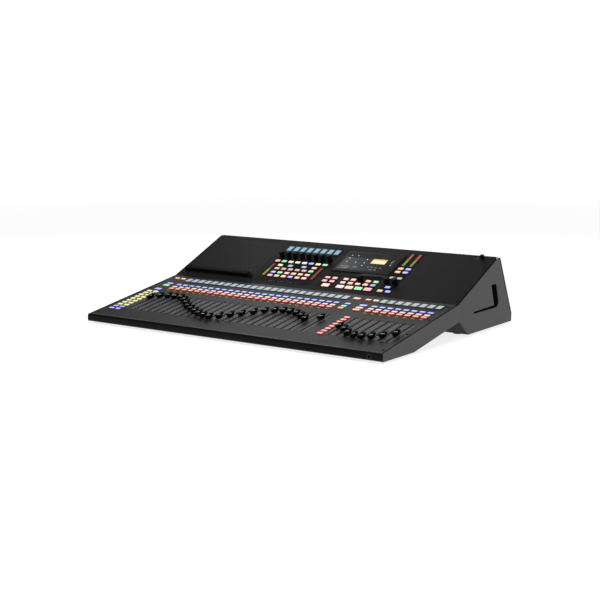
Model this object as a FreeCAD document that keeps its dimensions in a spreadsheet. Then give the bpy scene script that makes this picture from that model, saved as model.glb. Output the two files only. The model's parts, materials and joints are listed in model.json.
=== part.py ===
import FreeCAD, Part
import math
import os
import re

import Sketcher

# A digital mixing console: a folded tray and two sloping control panels between two side cheeks.
# Millimetres. +X is the operator's right, +Y is the rear, +Z is up.
# The origin is under the middle of the whole object, at the bottom of the feet.
# Along the side profile, a "reach" is measured back from the front edge of the cheeks.
# On a panel, x is across from the middle, v is up the slope and h is out of the surface.

Vector = FreeCAD.Vector
X_AXIS = Vector(1, 0, 0)
Z_AXIS = Vector(0, 0, 1)

SIZES = {
    # whole object and side profile
    "overall_width": 820,
    "cheek_depth": 580,
    "foot_rise": 5,
    "front_height": 22,
    "bend_reach": 316.8,
    "bend_height": 78.2,
    "top_reach": 512.3,
    "top_height": 166.6,
    "heel_corner_height": 25,
    "heel_reach": 363,
    "notch_reach": 321,
    "notch_height": 40.5,
    "toe_reach": 123,
    # sheet metal
    "cheek_wall": 2.5,
    "sheet": 2,
    "side_gap": 3,
    "panel_gap": 0.6,
    "rear_inset": 4,
    "top_round": 9,
    "heel_round": 8,
    "foot_radius": 12,
    # armrest along the front edge
    "nose_reach": 4,
    "nose_inset": 6,
    "nose_top": 23.5,
    "nose_round": 6.5,
    "end_cap_width": 6.5,
    # headphone jack in the armrest
    "jack_across": 379.6,
    "jack_height": 13.6,
    "jack_bore_radius": 3.25,
    "jack_barrel_radius": 4.6,
    "jack_ring_radius": 5.8,
    "jack_proud": 1,
    "jack_length": 30,
    # columns of the control surface
    "column_pitch": 20.48,
    "first_column": -338.6,
    # faders
    "travel": 100,
    "travel_start": 66,
    "slot_width": 3,
    "stem_thickness": 1.6,
    "stem_length": 6,
    "slot_clearance": 2,
    "slot_spare": 8,
    "cap_width": 11,
    "cap_length": 24,
    "cap_waist": 13,
    "cap_lip": 2,
    "cap_height": 8.5,
    "cap_gap": 1.5,
    "cap_dish": 1.4,
    "track_width": 8,
    "track_depth": 9,
    "stem_depth": 7,
    "track_end": 8,
    "motor_size": 14,
    # keys
    "key_width": 13.5,
    "key_length": 8.5,
    "key_rise": 1.8,
    "key_clearance": 0.4,
    "key_travel": 1.2,
    "key_flange": 0.8,
    "wide_key": 18,
    "deep_key_length": 11,
    "large_key_length": 12,
    "upper_key_rise": 1.2,
    # rotary controls, each a radius and a height above its panel
    "shaft_radius": 3,
    "shaft_clearance": 0.4,
    "knob_gap": 0.8,
    "knob_draft": 0.6,
    "channel_knob_radius": 6.2,
    "channel_knob_height": 15,
    "screen_knob_radius": 7,
    "screen_knob_height": 14,
    "phones_knob_radius": 5,
    "phones_knob_height": 11,
    # screens and the tablet ledge
    "glass": 1,
    "screen_width": 161,
    "screen_length": 94,
    "screen_rise": 2.5,
    "ledge_width": 212,
    "ledge_depth": 10,
    "ledge_height": 12,
    # carrying grips in the cheeks
    "grip_width": 22,
    "grip_slit": 4.6,
    "grip_pocket": 28,
    "grip_wall": 2,
    # rear connectors
    "xlr_pitch": 30,
    "xlr_width": 26,
    "xlr_height": 31,
    "xlr_barrel": 11.8,
    "xlr_cup": 9.4,
    "xlr_depth": 17,
    "connector_flange": 2,
    "connector_clearance": 0.4,
    # boards and supply
    "board_thickness": 1.6,
    "board_drop": 16,
    "supply_width": 180,
    "supply_depth": 90,
    "supply_height": 42,
}

# Sizes that follow from the ones above.
DERIVED = {
    "front_line": "-(cheek_depth - nose_reach - jack_proud) / 2",
    "lower_slope": "atan2(bend_height - front_height; bend_reach)",
    "upper_slope": "atan2(top_height - bend_height; top_reach - bend_reach)",
    "rear_lean": "atan2(cheek_depth - top_reach; top_height - heel_corner_height)",
    "lower_length": "hypot(bend_reach; bend_height - front_height)",
    "upper_length": "hypot(top_reach - bend_reach; top_height - bend_height)",
    "panel_width": "overall_width - 2 * (cheek_wall + side_gap)",
    "tray_width": "overall_width - 2 * cheek_wall",
    "slot_length": "travel + stem_length + 2 * slot_clearance + slot_spare",
    "slot_middle": "travel_start + (travel + slot_spare) / 2",
}

# Key rows of each channel strip: distance up the lower panel.
SELECT_ROW = 252
SOLO_ROW = 235.5
MUTE_ROW = 222
SCREEN_ROW = 292
LAYER_SCREEN_ROW = 296.5

LEFT_BANK = range(0, 24)
RIGHT_BANK = range(28, 36)
MAIN_COLUMN = 24.5
STACK_COLUMN = 26.54
GROUP_COLUMN = 27
SCREEN_KEY_COLUMNS = (26, 27)
LAYER_COLUMNS = (-2.1, -1.12)
LAYER_PAIR_COLUMN = -1.567
LAYER_ROWS = 10
LAYER_START = 52.4
LAYER_PITCH = 15.2
LAYER_DEEP_ROWS = (209.5, 240.5)
LAYER_TOP_ROW = 255
GROUP_ROWS = 8
GROUP_START = 63.2
GROUP_PITCH = 15.2

# Rest level of each fader as a share of its travel: a wave across the two banks.
LEFT_LEVELS = (
    0.78, 0.90, 0.96, 0.96, 0.95, 0.83, 0.65, 0.47,
    0.34, 0.23, 0.12, 0.04, 0.00, 0.12, 0.27, 0.42,
    0.61, 0.76, 0.86, 0.91, 0.89, 0.84, 0.73, 0.58,
)
RIGHT_LEVELS = (0.42, 0.28, 0.10, 0.02, 0.00, 0.06, 0.19, 0.38)
MAIN_LEVEL = 0.77

# The channel section of the upper panel repeats on its own columns.
STRIP_START = -156.5
STRIP_COLUMNS = 8
STRIP_KNOB_ROW = 132
STRIP_SCREEN_ROW = 169
STRIP_KEY_ROWS = (
    (109, (0, 1, 2, 3, 4, 5, 6, 7)),
    (90.5, (1, 2.5, 4.5, 6)),
    (74.5, (1, 2, 3, 4, 5, 6)),
    (57.3, (1, 2, 3, 4, 5, 6)),
    (42, (1, 2, 3, 4, 5, 6)),
)
# Keys of the other upper groups: across, up the slope.
PAIR_KEYS = ((27, 56.8), (48, 56.8), (27, 41.8), (48, 41.8))
HOME_KEY = (40.7, 24)
CENTRE_KEYS = (
    (79.5, 56.8), (100.5, 56.8), (142, 56.8), (163, 56.8),
    (79.5, 41.5), (100.5, 41.5), (121.5, 41.5), (142, 41.5), (163, 41.5),
)
MODE_KEYS = ((82, 23.5), (107.7, 23.5), (133.4, 23.5), (159, 23.5))
METER_KEYS = (
    (194, 122.8), (214.5, 122.8), (194, 107.8), (214.5, 107.8),
    (194, 81), (213.5, 81), (204, 40.5), (193, 22.7), (214.5, 22.7),
)
SCREEN_KNOB = (119, 59)
MASTER_KNOB = (191, 60)
MONITOR_KNOB = (213.5, 59)
PHONES_KNOB = (374, 196)
SCREEN_CENTRE = (99.5, 134)
LEDGE_CENTRE = (-286, 27)

# Rear connectors: across (seen from behind, to the right) and up the rear wall.
INPUT_ROWS = (121, 85)
INPUT_COUNT = 16
INPUT_START = -130
OUTPUT_COUNT = 6
OUTPUT_START = -372
SOCKET_ROW = 38
LINE_JACKS = (-120, -98, -76, -54)
NETWORK_SOCKETS = (-225, -203)
DATA_SOCKET = -172
INLET_ACROSS = -350
SWITCH_ACROSS = -298
VENT_START = 60
VENT_PITCH = 9
VENT_COUNT = 30


doc = FreeCAD.newDocument("mixing_console")
sheet = doc.addObject("Spreadsheet::Sheet", "Sizes")


def fill_sheet():
    """Writes the driving and the derived sizes, each under its own name."""
    rows = [(name, str(value)) for name, value in SIZES.items()]
    rows += [(name, "=" + rule) for name, rule in DERIVED.items()]
    for row, (name, text) in enumerate(rows, start=1):
        sheet.set(f"A{row}", name)
        sheet.set(f"B{row}", text)
        sheet.setAlias(f"B{row}", name)
    doc.recompute()


def size(name):
    """The value of one size, as a plain number."""
    return float(getattr(sheet, name))


def bound(rule):
    """An expression on the sheet: every word that names a size is read from its cell."""

    def read(match):
        word = match.group()
        return "Sizes." + word if word in SIZES or word in DERIVED else word

    return re.sub(r"[a-z]\w*", read, rule)


def origin_feature(body, role):
    return next(part for part in body.Origin.OriginFeatures if part.Role == role)


def new_sketch(body, name, plane, offset=None):
    sketch = body.newObject("Sketcher::SketchObject", name)
    sketch.AttachmentSupport = [(origin_feature(body, plane), "")]
    sketch.MapMode = "FlatFace"
    if offset:
        sketch.setExpression("AttachmentOffset.Base.z", bound(offset))
    return sketch


def outline(sketch, corners):
    """A closed outline with straight sides; every corner is tied to the sheet."""
    first = sketch.GeometryCount
    count = len(corners)
    for index in range(count):
        start = Vector(index, index * index % 7, 0)
        end = Vector(index + 1, (index + 1) ** 2 % 7, 0)
        sketch.addGeometry(Part.LineSegment(start, end), False)
    for index, corner in enumerate(corners):
        following = first + (index + 1) % count
        sketch.addConstraint(Sketcher.Constraint("Coincident", first + index, 2, following, 1))
        for kind, rule in zip(("DistanceX", "DistanceY"), corner):
            number = sketch.addConstraint(Sketcher.Constraint(kind, -1, 1, first + index, 1, 1.0))
            sketch.setExpression(f"Constraints[{number}]", bound(str(rule)))


def rectangle(sketch, across, up, width, length):
    """A rectangle about a centre; each argument is a rule on the sheet."""
    left, right = f"{across} - ( {width} ) / 2", f"{across} + ( {width} ) / 2"
    low, high = f"{up} - ( {length} ) / 2", f"{up} + ( {length} ) / 2"
    outline(sketch, ((left, low), (right, low), (right, high), (left, high)))


def circle(sketch, across, up, radius):
    number = sketch.addGeometry(Part.Circle(Vector(1, 1, 0), Z_AXIS, 1), False)
    for kind, rule in (("DistanceX", across), ("DistanceY", up)):
        tie = sketch.addConstraint(Sketcher.Constraint(kind, -1, 1, number, 3, 1.0))
        sketch.setExpression(f"Constraints[{tie}]", bound(str(rule)))
    tie = sketch.addConstraint(Sketcher.Constraint("Radius", number, 1.0))
    sketch.setExpression(f"Constraints[{tie}]", bound(radius))


def new_body(name):
    return doc.addObject("PartDesign::Body", name)


def pad(body, sketch, length, middle=False, reverse=False):
    feature = body.newObject("PartDesign::Pad", sketch.Name + "_pad")
    feature.Profile = sketch
    feature.setExpression("Length", bound(length))
    feature.Midplane = middle
    feature.Reversed = reverse
    body.Tip = feature
    doc.recompute()
    return feature


def pocket_through(body, sketch):
    """Cuts a sketch right through the body, and checks that material went."""
    before = body.Shape.Volume
    feature = body.newObject("PartDesign::Pocket", sketch.Name + "_pocket")
    feature.Profile = sketch
    feature.Type = "ThroughAll"
    feature.Midplane = True
    body.Tip = feature
    doc.recompute()
    if body.Shape.Volume >= before:
        raise ValueError(f"{sketch.Name} cut nothing")
    return feature


def repeat_across(body, features, pitch, count):
    """Repeats features along the body's X axis."""
    pattern = body.newObject("PartDesign::LinearPattern", features[0].Name + "_row")
    pattern.Originals = features
    pattern.Direction = (origin_feature(body, "X_Axis"), [""])
    pattern.setExpression("Length", bound(f"( {pitch} ) * {count - 1}"))
    pattern.Occurrences = count
    body.Tip = pattern
    doc.recompute()
    return pattern


def tie_place(feature, height, reach, slope):
    """Lays a body's own XY plane on a sloping plane of the side profile."""
    feature.Placement = FreeCAD.Placement(Vector(), FreeCAD.Rotation(X_AXIS, 1))
    feature.setExpression("Placement.Base.y", bound(f"front_line + {reach}"))
    feature.setExpression("Placement.Base.z", bound(height))
    feature.setExpression("Placement.Rotation.Angle", bound(slope))


def lower_place():
    """Where the lower panel's own x, v, h frame stands."""
    turn = FreeCAD.Rotation(X_AXIS, size("lower_slope"))
    return FreeCAD.Placement(Vector(0, size("front_line"), size("front_height")), turn)


def upper_place():
    turn = FreeCAD.Rotation(X_AXIS, size("upper_slope"))
    base = Vector(0, size("front_line") + size("bend_reach"), size("bend_height"))
    return FreeCAD.Placement(base, turn)


def rear_place():
    """The rear wall's own frame: x to the right as seen from behind, y up the wall."""
    lean = math.radians(size("rear_lean"))
    up = Vector(0, -math.sin(lean), math.cos(lean))
    out = Vector(0, math.cos(lean), math.sin(lean))
    turn = FreeCAD.Rotation(Vector(-1, 0, 0), up, out, "XYZ")
    reach = size("front_line") + size("cheek_depth") - size("rear_inset") / math.cos(lean)
    return FreeCAD.Placement(Vector(0, reach, size("heel_corner_height")), turn)


def column(number):
    return size("first_column") + number * size("column_pitch")


def level_to_v(level):
    return size("travel_start") + level * size("travel")


def box_about(across, up, width, length, low, high):
    """A box about a centre on a panel, from one height to another."""
    corner = Vector(across - width / 2, up - length / 2, low)
    return Part.makeBox(width, length, high - low, corner)


def group(name, solids, place=None):
    """A node of several separate solids, placed once its shape is set."""
    feature = doc.addObject("Part::Feature", name)
    feature.Shape = Part.makeCompound(solids)
    if place:
        feature.Placement = place
    return feature


def cut_away(name, base, tools, place=None):
    """A body less a set of tools, as a Part::Cut."""
    tool = group(name + "_cutters", tools, place)
    feature = doc.addObject("Part::Cut", name)
    feature.Base = base
    feature.Tool = tool
    doc.recompute()
    return feature


# ---------------------------------------------------------------- side profile


def profile(*corners):
    """Corners of the side profile, given as a reach and a height, for the YZ plane."""
    return [(f"front_line + {reach}", height) for reach, height in corners]


REAR_LINE = "( cheek_depth - top_reach ) / ( top_height - heel_corner_height )"
UPPER_LINE = "( top_height - bend_height ) / ( top_reach - bend_reach )"
LOWER_LINE = "( bend_height - front_height ) / bend_reach"


def build_cheek(name, side):
    """One side cheek: a plate of the side profile with a carrying grip and its pocket."""
    body = new_body(name)
    sketch = new_sketch(body, name + "_profile", "YZ_Plane", f"{side} * ( tray_width / 2 + cheek_wall / 2 )")
    outline(sketch, profile(
        ("0", "foot_rise"),
        ("0", "front_height"),
        ("bend_reach", "bend_height"),
        ("top_reach", "top_height"),
        ("cheek_depth", "heel_corner_height"),
        ("cheek_depth", "foot_rise"),
        ("heel_reach", "foot_rise"),
        ("notch_reach", "notch_height"),
        ("toe_reach", "foot_rise"),
    ))
    pad(body, sketch, "cheek_wall", middle=True)
    plate = body.Tip
    rounded = body.newObject("PartDesign::Fillet", name + "_top_round")
    rounded.Base = (plate, [edge_across(plate.Shape, size("top_reach"), size("top_height"))])
    rounded.setExpression("Radius", "Sizes.top_round")
    body.Tip = rounded
    doc.recompute()
    heel = body.newObject("PartDesign::Fillet", name + "_heel_round")
    heel.Base = (rounded, [edge_across(rounded.Shape, size("cheek_depth"), size("heel_corner_height"))])
    heel.setExpression("Radius", "Sizes.heel_round")
    body.Tip = heel
    doc.recompute()
    slot = new_sketch(body, name + "_grip", "YZ_Plane")
    outline(slot, profile(*GRIP_CORNERS))
    pocket_through(body, slot)
    return body


# The grip is an upright slot that leans with the rear edge, and a slit that runs forward from its foot.
GRIP_CORNERS = (
    ("471.5", "103.5"),
    ("470.5 + grip_width", "104.5"),
    ("475 + grip_width", "102.5"),
    ("488.5 + grip_width", "60"),
    ("485.5 + grip_width", "53"),
    ("478 + grip_width", "48.8"),
    ("387", "48.8"),
    ("387", "48.8 + grip_slit"),
    ("487.5", "50.5 + grip_slit"),
)
# The pocket behind it: a tall part behind the slot and a low part behind the slit.
POCKET_CORNERS = ((370, 42), (514, 42), (514, 108), (452, 108), (452, 60), (370, 60))


def edge_across(shape, reach, height):
    """The name of the edge that runs across the object at one corner of the side profile."""
    for number, edge in enumerate(shape.Edges, start=1):
        ends = [vertex.Point for vertex in edge.Vertexes]
        on_corner = all(
            abs(point.y - size("front_line") - reach) < 1e-3 and abs(point.z - height) < 1e-3
            for point in ends
        )
        if on_corner and len(ends) == 2:
            return f"Edge{number}"
    raise ValueError(f"no edge at reach {reach}, height {height}")


def grown(corners, margin):
    """An outline of square corners moved outward by a margin, or inward by a negative one."""
    moved = []
    for index, (reach, height) in enumerate(corners):
        before, after = corners[index - 1], corners[(index + 1) % len(corners)]
        arriving = (math.copysign(1, reach - before[0]) if reach != before[0] else 0,
                    math.copysign(1, height - before[1]) if height != before[1] else 0)
        leaving = (math.copysign(1, after[0] - reach) if reach != after[0] else 0,
                   math.copysign(1, after[1] - height) if height != after[1] else 0)
        moved.append((reach + margin * (arriving[1] + leaving[1]), height - margin * (arriving[0] + leaving[0])))
    return moved


def prism_across(corners, left, right):
    """A prism that runs across the object with an outline of the side profile."""
    points = [Vector(left, size("front_line") + reach, height) for reach, height in corners]
    face = Part.Face(Part.makePolygon(points + points[:1]))
    return face.extrude(Vector(right - left, 0, 0))


def grip_pocket(side):
    """The closed pocket behind a cheek's grip, which keeps fingers out of the electronics."""
    wall = size("grip_wall")
    inner_face = size("tray_width") / 2
    back = inner_face - size("grip_pocket")
    outer = prism_across(POCKET_CORNERS, side * back, side * inner_face)
    inner = prism_across(grown(POCKET_CORNERS, -wall), side * (back + wall), side * (inner_face + wall))
    return outer.cut(inner)


def build_cheeks():
    for name, side in (("left_cheek", -1), ("right_cheek", 1)):
        plate = build_cheek(name + "_plate", side)
        pocket = group(name + "_pocket", [grip_pocket(side)])
        joined = doc.addObject("Part::Fuse", name)
        joined.Base = plate
        joined.Tool = pocket
        doc.recompute()
        yield joined


def build_tray():
    """The folded bottom sheet, open at the rear, with an upright rib inside each cheek."""
    body = new_body("chassis_tray")
    section = new_sketch(body, "tray_section", "YZ_Plane")
    outline(section, profile(
        ("nose_inset", f"front_height + nose_inset * {LOWER_LINE} - sheet * 1.02"),
        ("nose_inset", "foot_rise"),
        ("toe_reach", "foot_rise"),
        ("notch_reach", "notch_height"),
        ("heel_reach", "foot_rise"),
        ("cheek_depth - rear_inset", "foot_rise"),
        ("cheek_depth - rear_inset", "heel_corner_height - 2 * panel_gap"),
        ("cheek_depth - rear_inset - sheet", "heel_corner_height - 2 * panel_gap"),
        ("cheek_depth - rear_inset - sheet", "foot_rise + sheet"),
        ("heel_reach + sheet * 0.4", "foot_rise + sheet"),
        ("notch_reach", "notch_height + sheet * 1.3"),
        ("toe_reach - sheet * 0.1", "foot_rise + sheet"),
        ("nose_inset + sheet", "foot_rise + sheet"),
        ("nose_inset + sheet", f"front_height + nose_inset * {LOWER_LINE} - sheet * 1.02"),
    ))
    pad(body, section, "tray_width", middle=True)
    rib = new_sketch(body, "tray_rib", "YZ_Plane", "panel_width / 2 - sheet")
    outline(rib, profile(
        ("nose_inset + sheet / 2", f"front_height + nose_inset * {LOWER_LINE} - sheet * 1.02"),
        ("nose_inset + sheet / 2", "foot_rise + sheet / 2"),
        ("toe_reach", "foot_rise + sheet / 2"),
        ("notch_reach", "notch_height + sheet / 2"),
        ("heel_reach", "foot_rise + sheet / 2"),
        ("cheek_depth - rear_inset - sheet / 2", "foot_rise + sheet / 2"),
        ("cheek_depth - rear_inset - sheet / 2", "heel_corner_height - panel_gap - 2 * sheet"),
        ("cheek_depth - rear_inset - 3 * sheet", "heel_corner_height"),
        ("top_reach - rear_inset - 4 * sheet", f"top_height - ( rear_inset + 4 * sheet ) * {UPPER_LINE} - 1.2 * sheet"),
        ("bend_reach", "bend_height - sheet * 1.15"),
    ))
    pad(body, rib, "sheet")
    window = new_sketch(body, "rib_window", "YZ_Plane")
    clearance = 2
    outline(window, profile(*grown(POCKET_CORNERS, clearance)))
    opening = body.newObject("PartDesign::Pocket", "rib_window_pocket")
    opening.Profile = window
    opening.Type = "ThroughAll"
    opening.Midplane = True
    doc.recompute()
    mirror = body.newObject("PartDesign::Mirrored", "second_rib")
    mirror.Originals = [doc.getObject("tray_rib_pad"), opening]
    mirror.MirrorPlane = (origin_feature(body, "YZ_Plane"), [""])
    body.Tip = mirror
    doc.recompute()
    jack = Part.makeCylinder(
        size("jack_barrel_radius") + size("panel_gap"), 4 * size("sheet"),
        Vector(size("jack_across"), size("front_line"), size("jack_height")), Vector(0, 1, 0))
    jack.translate(Vector(0, size("nose_inset") - size("sheet"), 0))
    return cut_away("chassis_tray_drilled", body, [jack])


def build_rear_panel():
    """The leaning rear wall, drilled for its connectors."""
    body = new_body("rear_panel_plate")
    width = "panel_width"
    face = new_sketch(body, "rear_face", "XY_Plane")
    height = "hypot(cheek_depth - top_reach; top_height - heel_corner_height)"
    outline(face, (
        (f"- {width} / 2", "0"),
        (f"{width} / 2", "0"),
        (f"{width} / 2", f"{height} - rear_inset - 2 * sheet"),
        (f"- {width} / 2", f"{height} - rear_inset - 2 * sheet"),
    ))
    pad(body, face, "sheet", reverse=True)
    hole = "xlr_barrel + connector_clearance"
    for row, up in enumerate(INPUT_ROWS):
        sketch = new_sketch(body, f"input_holes_{row}", "XY_Plane")
        circle(sketch, INPUT_START, up, hole)
        repeat_across(body, [pocket_through(body, sketch)], "xlr_pitch", INPUT_COUNT)
        sketch = new_sketch(body, f"output_holes_{row}", "XY_Plane")
        circle(sketch, OUTPUT_START, up, hole)
        repeat_across(body, [pocket_through(body, sketch)], "xlr_pitch", OUTPUT_COUNT)
    sketch = new_sketch(body, "vents", "XY_Plane")
    rectangle(sketch, VENT_START, SOCKET_ROW, 3, 34)
    repeat_across(body, [pocket_through(body, sketch)], VENT_PITCH, VENT_COUNT)
    gap = size("connector_clearance")
    through = (-2 * size("sheet"), size("sheet"))
    tools = [box_about(x, SOCKET_ROW, wide + 2 * gap, tall + 2 * gap, *through) for x, wide, tall in SOCKET_BOXES]
    radius = size("jack_barrel_radius") + gap
    for across in LINE_JACKS:
        tools.append(Part.makeCylinder(radius, 3 * size("sheet"), Vector(across, SOCKET_ROW, through[0])))
    cut = cut_away("rear_panel", body, tools)
    cut.Placement = rear_place()
    return cut


# ---------------------------------------------------------------- keys


def key_solid(width, length, rise):
    """One key: a block with cut corners above the panel and a wider flange below it."""
    gap = size("panel_gap")
    low = -size("sheet") - gap
    block = box_about(0, 0, width, length, low, rise)
    corners = [edge for edge in block.Edges if abs(edge.tangentAt(edge.FirstParameter).z) > 0.9]
    block = block.makeChamfer(length / 9, corners)
    flange = size("key_flange")
    brim = box_about(0, 0, width + 2 * flange, length + 2 * flange, low - flange, low)
    return block.fuse(brim).removeSplitter()


def key_sizes(kind):
    """Width, length and rise of one kind of key."""
    lower, upper = size("key_rise"), size("upper_key_rise")
    return {
        "channel": (size("key_width"), size("key_length"), lower),
        "wide": (size("wide_key"), size("key_length"), lower),
        "deep": (size("wide_key"), size("deep_key_length"), lower),
        "upper": (size("key_width"), size("key_length"), upper),
        "mode": (1.5 * size("key_width"), size("large_key_length"), upper),
    }[kind]


def channel_keys():
    """Select, solo and mute keys of every channel and of the main strip."""
    places = []
    for number in list(LEFT_BANK) + [MAIN_COLUMN] + list(RIGHT_BANK):
        for row in (SELECT_ROW, SOLO_ROW, MUTE_ROW):
            places.append(("channel", column(number), row))
    return places


def bank_keys():
    """Layer keys on the left, the group keys and the stack beside the main fader."""
    places = []
    for number in LAYER_COLUMNS:
        for row in range(LAYER_ROWS):
            places.append(("channel", column(number), LAYER_START + row * LAYER_PITCH))
        places.append(("channel", column(number), LAYER_SCREEN_ROW))
    places += [("deep", column(LAYER_PAIR_COLUMN), row) for row in LAYER_DEEP_ROWS]
    places.append(("wide", column(LAYER_PAIR_COLUMN), LAYER_TOP_ROW))
    places += [("wide", column(STACK_COLUMN), row) for row in (SELECT_ROW, SOLO_ROW, MUTE_ROW)]
    places += [("channel", column(number), SCREEN_ROW) for number in SCREEN_KEY_COLUMNS]
    places.append(("deep", column(MAIN_COLUMN), SCREEN_ROW))
    for row in range(GROUP_ROWS):
        places.append(("channel", column(GROUP_COLUMN), GROUP_START + row * GROUP_PITCH))
    return places


def section_keys():
    """Keys of the upper panel's groups."""
    places = []
    for row, columns in STRIP_KEY_ROWS:
        for number in columns:
            places.append(("upper", STRIP_START + number * size("column_pitch"), row))
    places += [("upper", x, v) for x, v in PAIR_KEYS + CENTRE_KEYS + METER_KEYS]
    places += [("mode", x, v) for x, v in MODE_KEYS + (HOME_KEY,)]
    return places


def key_holes(places):
    gap = 2 * size("key_clearance")
    holes = []
    for kind, across, up in places:
        width, length, _ = key_sizes(kind)
        holes.append(box_about(across, up, width + gap, length + gap, -2 * size("sheet"), size("sheet")))
    return holes


def key_group(name, places, place):
    masters = {kind: key_solid(*key_sizes(kind)) for kind in {entry[0] for entry in places}}
    solids = []
    for kind, across, up in places:
        key = masters[kind].copy()
        key.translate(Vector(across, up, 0))
        solids.append(key)
    return group(name, solids, place)


# ---------------------------------------------------------------- panels


def build_lower_panel():
    """The front control panel with a slot for each fader and a hole for each key."""
    body = new_body("lower_panel_plate")
    face = new_sketch(body, "lower_face", "XY_Plane")
    start = "nose_inset + panel_gap"
    length = "lower_length - nose_inset - 2 * panel_gap"
    rectangle(face, "0", f"{start} + ( {length} ) / 2", "panel_width", length)
    pad(body, face, "sheet", reverse=True)
    middle = "slot_middle"
    banks = (
        ("left", LEFT_BANK[0], len(LEFT_BANK)),
        ("main", MAIN_COLUMN, 1),
        ("right", RIGHT_BANK[0], len(RIGHT_BANK)),
    )
    for name, first, count in banks:
        sketch = new_sketch(body, f"{name}_slot", "XY_Plane")
        rectangle(sketch, f"first_column + {first} * column_pitch", middle, "slot_width", "slot_length")
        cut = pocket_through(body, sketch)
        if count > 1:
            repeat_across(body, [cut], "column_pitch", count)
    panel = cut_away("lower_panel", body, key_holes(channel_keys() + bank_keys()))
    tie_place(panel, "front_height", "0", "lower_slope")
    return panel


def strip_column(number):
    return STRIP_START + number * size("column_pitch")


def knobs():
    """Every rotary control: name, kind, across, up the upper panel."""
    listed = [
        (f"channel_encoder_{number + 1}", "channel_knob", strip_column(number), STRIP_KNOB_ROW)
        for number in range(STRIP_COLUMNS)
    ]
    listed.append(("screen_encoder", "screen_knob", *SCREEN_KNOB))
    listed.append(("master_encoder", "screen_knob", *MASTER_KNOB))
    listed.append(("monitor_encoder", "screen_knob", *MONITOR_KNOB))
    listed.append(("headphone_knob", "phones_knob", *PHONES_KNOB))
    return listed


def build_upper_panel():
    """The rear control panel, with the tablet ledge standing on it."""
    body = new_body("upper_panel_plate")
    face = new_sketch(body, "upper_face", "XY_Plane")
    length = "upper_length - rear_inset - 2 * panel_gap"
    rectangle(face, "0", f"panel_gap + ( {length} ) / 2", "panel_width", length)
    pad(body, face, "sheet", reverse=True)
    ledge = new_sketch(body, "ledge_front", "XZ_Plane", f"- ( {LEDGE_CENTRE[1]} )")
    left, right = f"{LEDGE_CENTRE[0]} - ledge_width / 2", f"{LEDGE_CENTRE[0]} + ledge_width / 2"
    outline(ledge, ((left, "- sheet / 2"), (right, "- sheet / 2"), (right, "0"),
                    (f"{right} - ledge_height", "ledge_height"), (left, "ledge_height")))
    pad(body, ledge, "ledge_depth", middle=True)
    first = new_sketch(body, "encoder_hole", "XY_Plane")
    circle(first, STRIP_START, STRIP_KNOB_ROW, "shaft_radius + shaft_clearance")
    repeat_across(body, [pocket_through(body, first)], "column_pitch", STRIP_COLUMNS)
    others = new_sketch(body, "knob_holes", "XY_Plane")
    for across, up in (SCREEN_KNOB, MASTER_KNOB, MONITOR_KNOB, PHONES_KNOB):
        circle(others, across, up, "shaft_radius + shaft_clearance")
    pocket_through(body, others)
    panel = cut_away("upper_panel", body, key_holes(section_keys()))
    tie_place(panel, "bend_height", "bend_reach", "upper_slope")
    return panel


def build_displays():
    """The touchscreen slab and the glass strips over the channel displays."""
    glass = size("glass")
    screen_length = 24
    pieces = []
    turn_back = upper_place().inverse().multiply(lower_place())
    for bank in (LEFT_BANK, RIGHT_BANK):
        left = column(bank[0] - 0.45)
        right = column(bank[-1] + 0.45)
        strip = box_about((left + right) / 2, SCREEN_ROW, right - left, screen_length, 0, glass)
        pieces.append(strip.transformed(turn_back.toMatrix()))
    middle = (strip_column(0) + strip_column(STRIP_COLUMNS - 1)) / 2
    wide = size("column_pitch") * (STRIP_COLUMNS - 0.1)
    pieces.append(box_about(middle, STRIP_SCREEN_ROW, wide, screen_length + 4, 0, glass))
    slab = box_about(*SCREEN_CENTRE, size("screen_width"), size("screen_length"), 0, size("screen_rise"))
    rim = [edge for edge in slab.Edges if edge.BoundBox.ZMin > size("screen_rise") - 0.01]
    pieces.append(slab.makeChamfer(1.2, rim))
    return group("display_glass", pieces, upper_place())


# ---------------------------------------------------------------- faders


def fader_solid():
    """A cap with a waist and a dished top, on a flat stem that hangs through the slot into its track."""
    width, length, height = size("cap_width"), size("cap_length"), size("cap_height")
    low = size("cap_gap")
    high = low + height
    waist, lip = size("cap_waist"), size("cap_lip")
    half = (
        (waist / 2 + 1, low),
        (waist / 2, (low + high - lip) / 2),
        (length / 2, high - lip),
        (length / 2, high),
    )
    points = [Vector(0, -up, out) for up, out in half] + [Vector(0, up, out) for up, out in reversed(half)]
    sides = [Part.makeLine(points[n], points[n + 1]) for n in (0, 1, 2, 4, 5, 6)]
    top = Part.Arc(points[3], Vector(0, 0, high - size("cap_dish")), points[4]).toShape()
    face = Part.Face(Part.Wire(sides[:3] + [top] + sides[3:] + [Part.makeLine(points[7], points[0])]))
    cap = face.extrude(Vector(width, 0, 0))
    cap.translate(Vector(-width / 2, 0, 0))
    stem_low = -size("sheet") - size("stem_depth")
    stem = box_about(0, 0, size("stem_thickness"), size("stem_length"), stem_low, low + 1)
    return cap.fuse(stem).removeSplitter()


def build_faders():
    """One node for each fader, set at its rest level."""
    listed = [(f"fader_{n + 1:02d}", k, level) for n, (k, level) in enumerate(zip(LEFT_BANK, LEFT_LEVELS))]
    after = len(listed)
    listed += [(f"fader_{n + 1 + after:02d}", k, level) for n, (k, level) in enumerate(zip(RIGHT_BANK, RIGHT_LEVELS))]
    listed.append(("main_fader", MAIN_COLUMN, MAIN_LEVEL))
    master = fader_solid()
    nodes = []
    for name, number, level in listed:
        fader = master.copy()
        fader.translate(Vector(column(number), level_to_v(level), 0))
        nodes.append(group(name, [fader], lower_place()))
    return nodes


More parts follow.
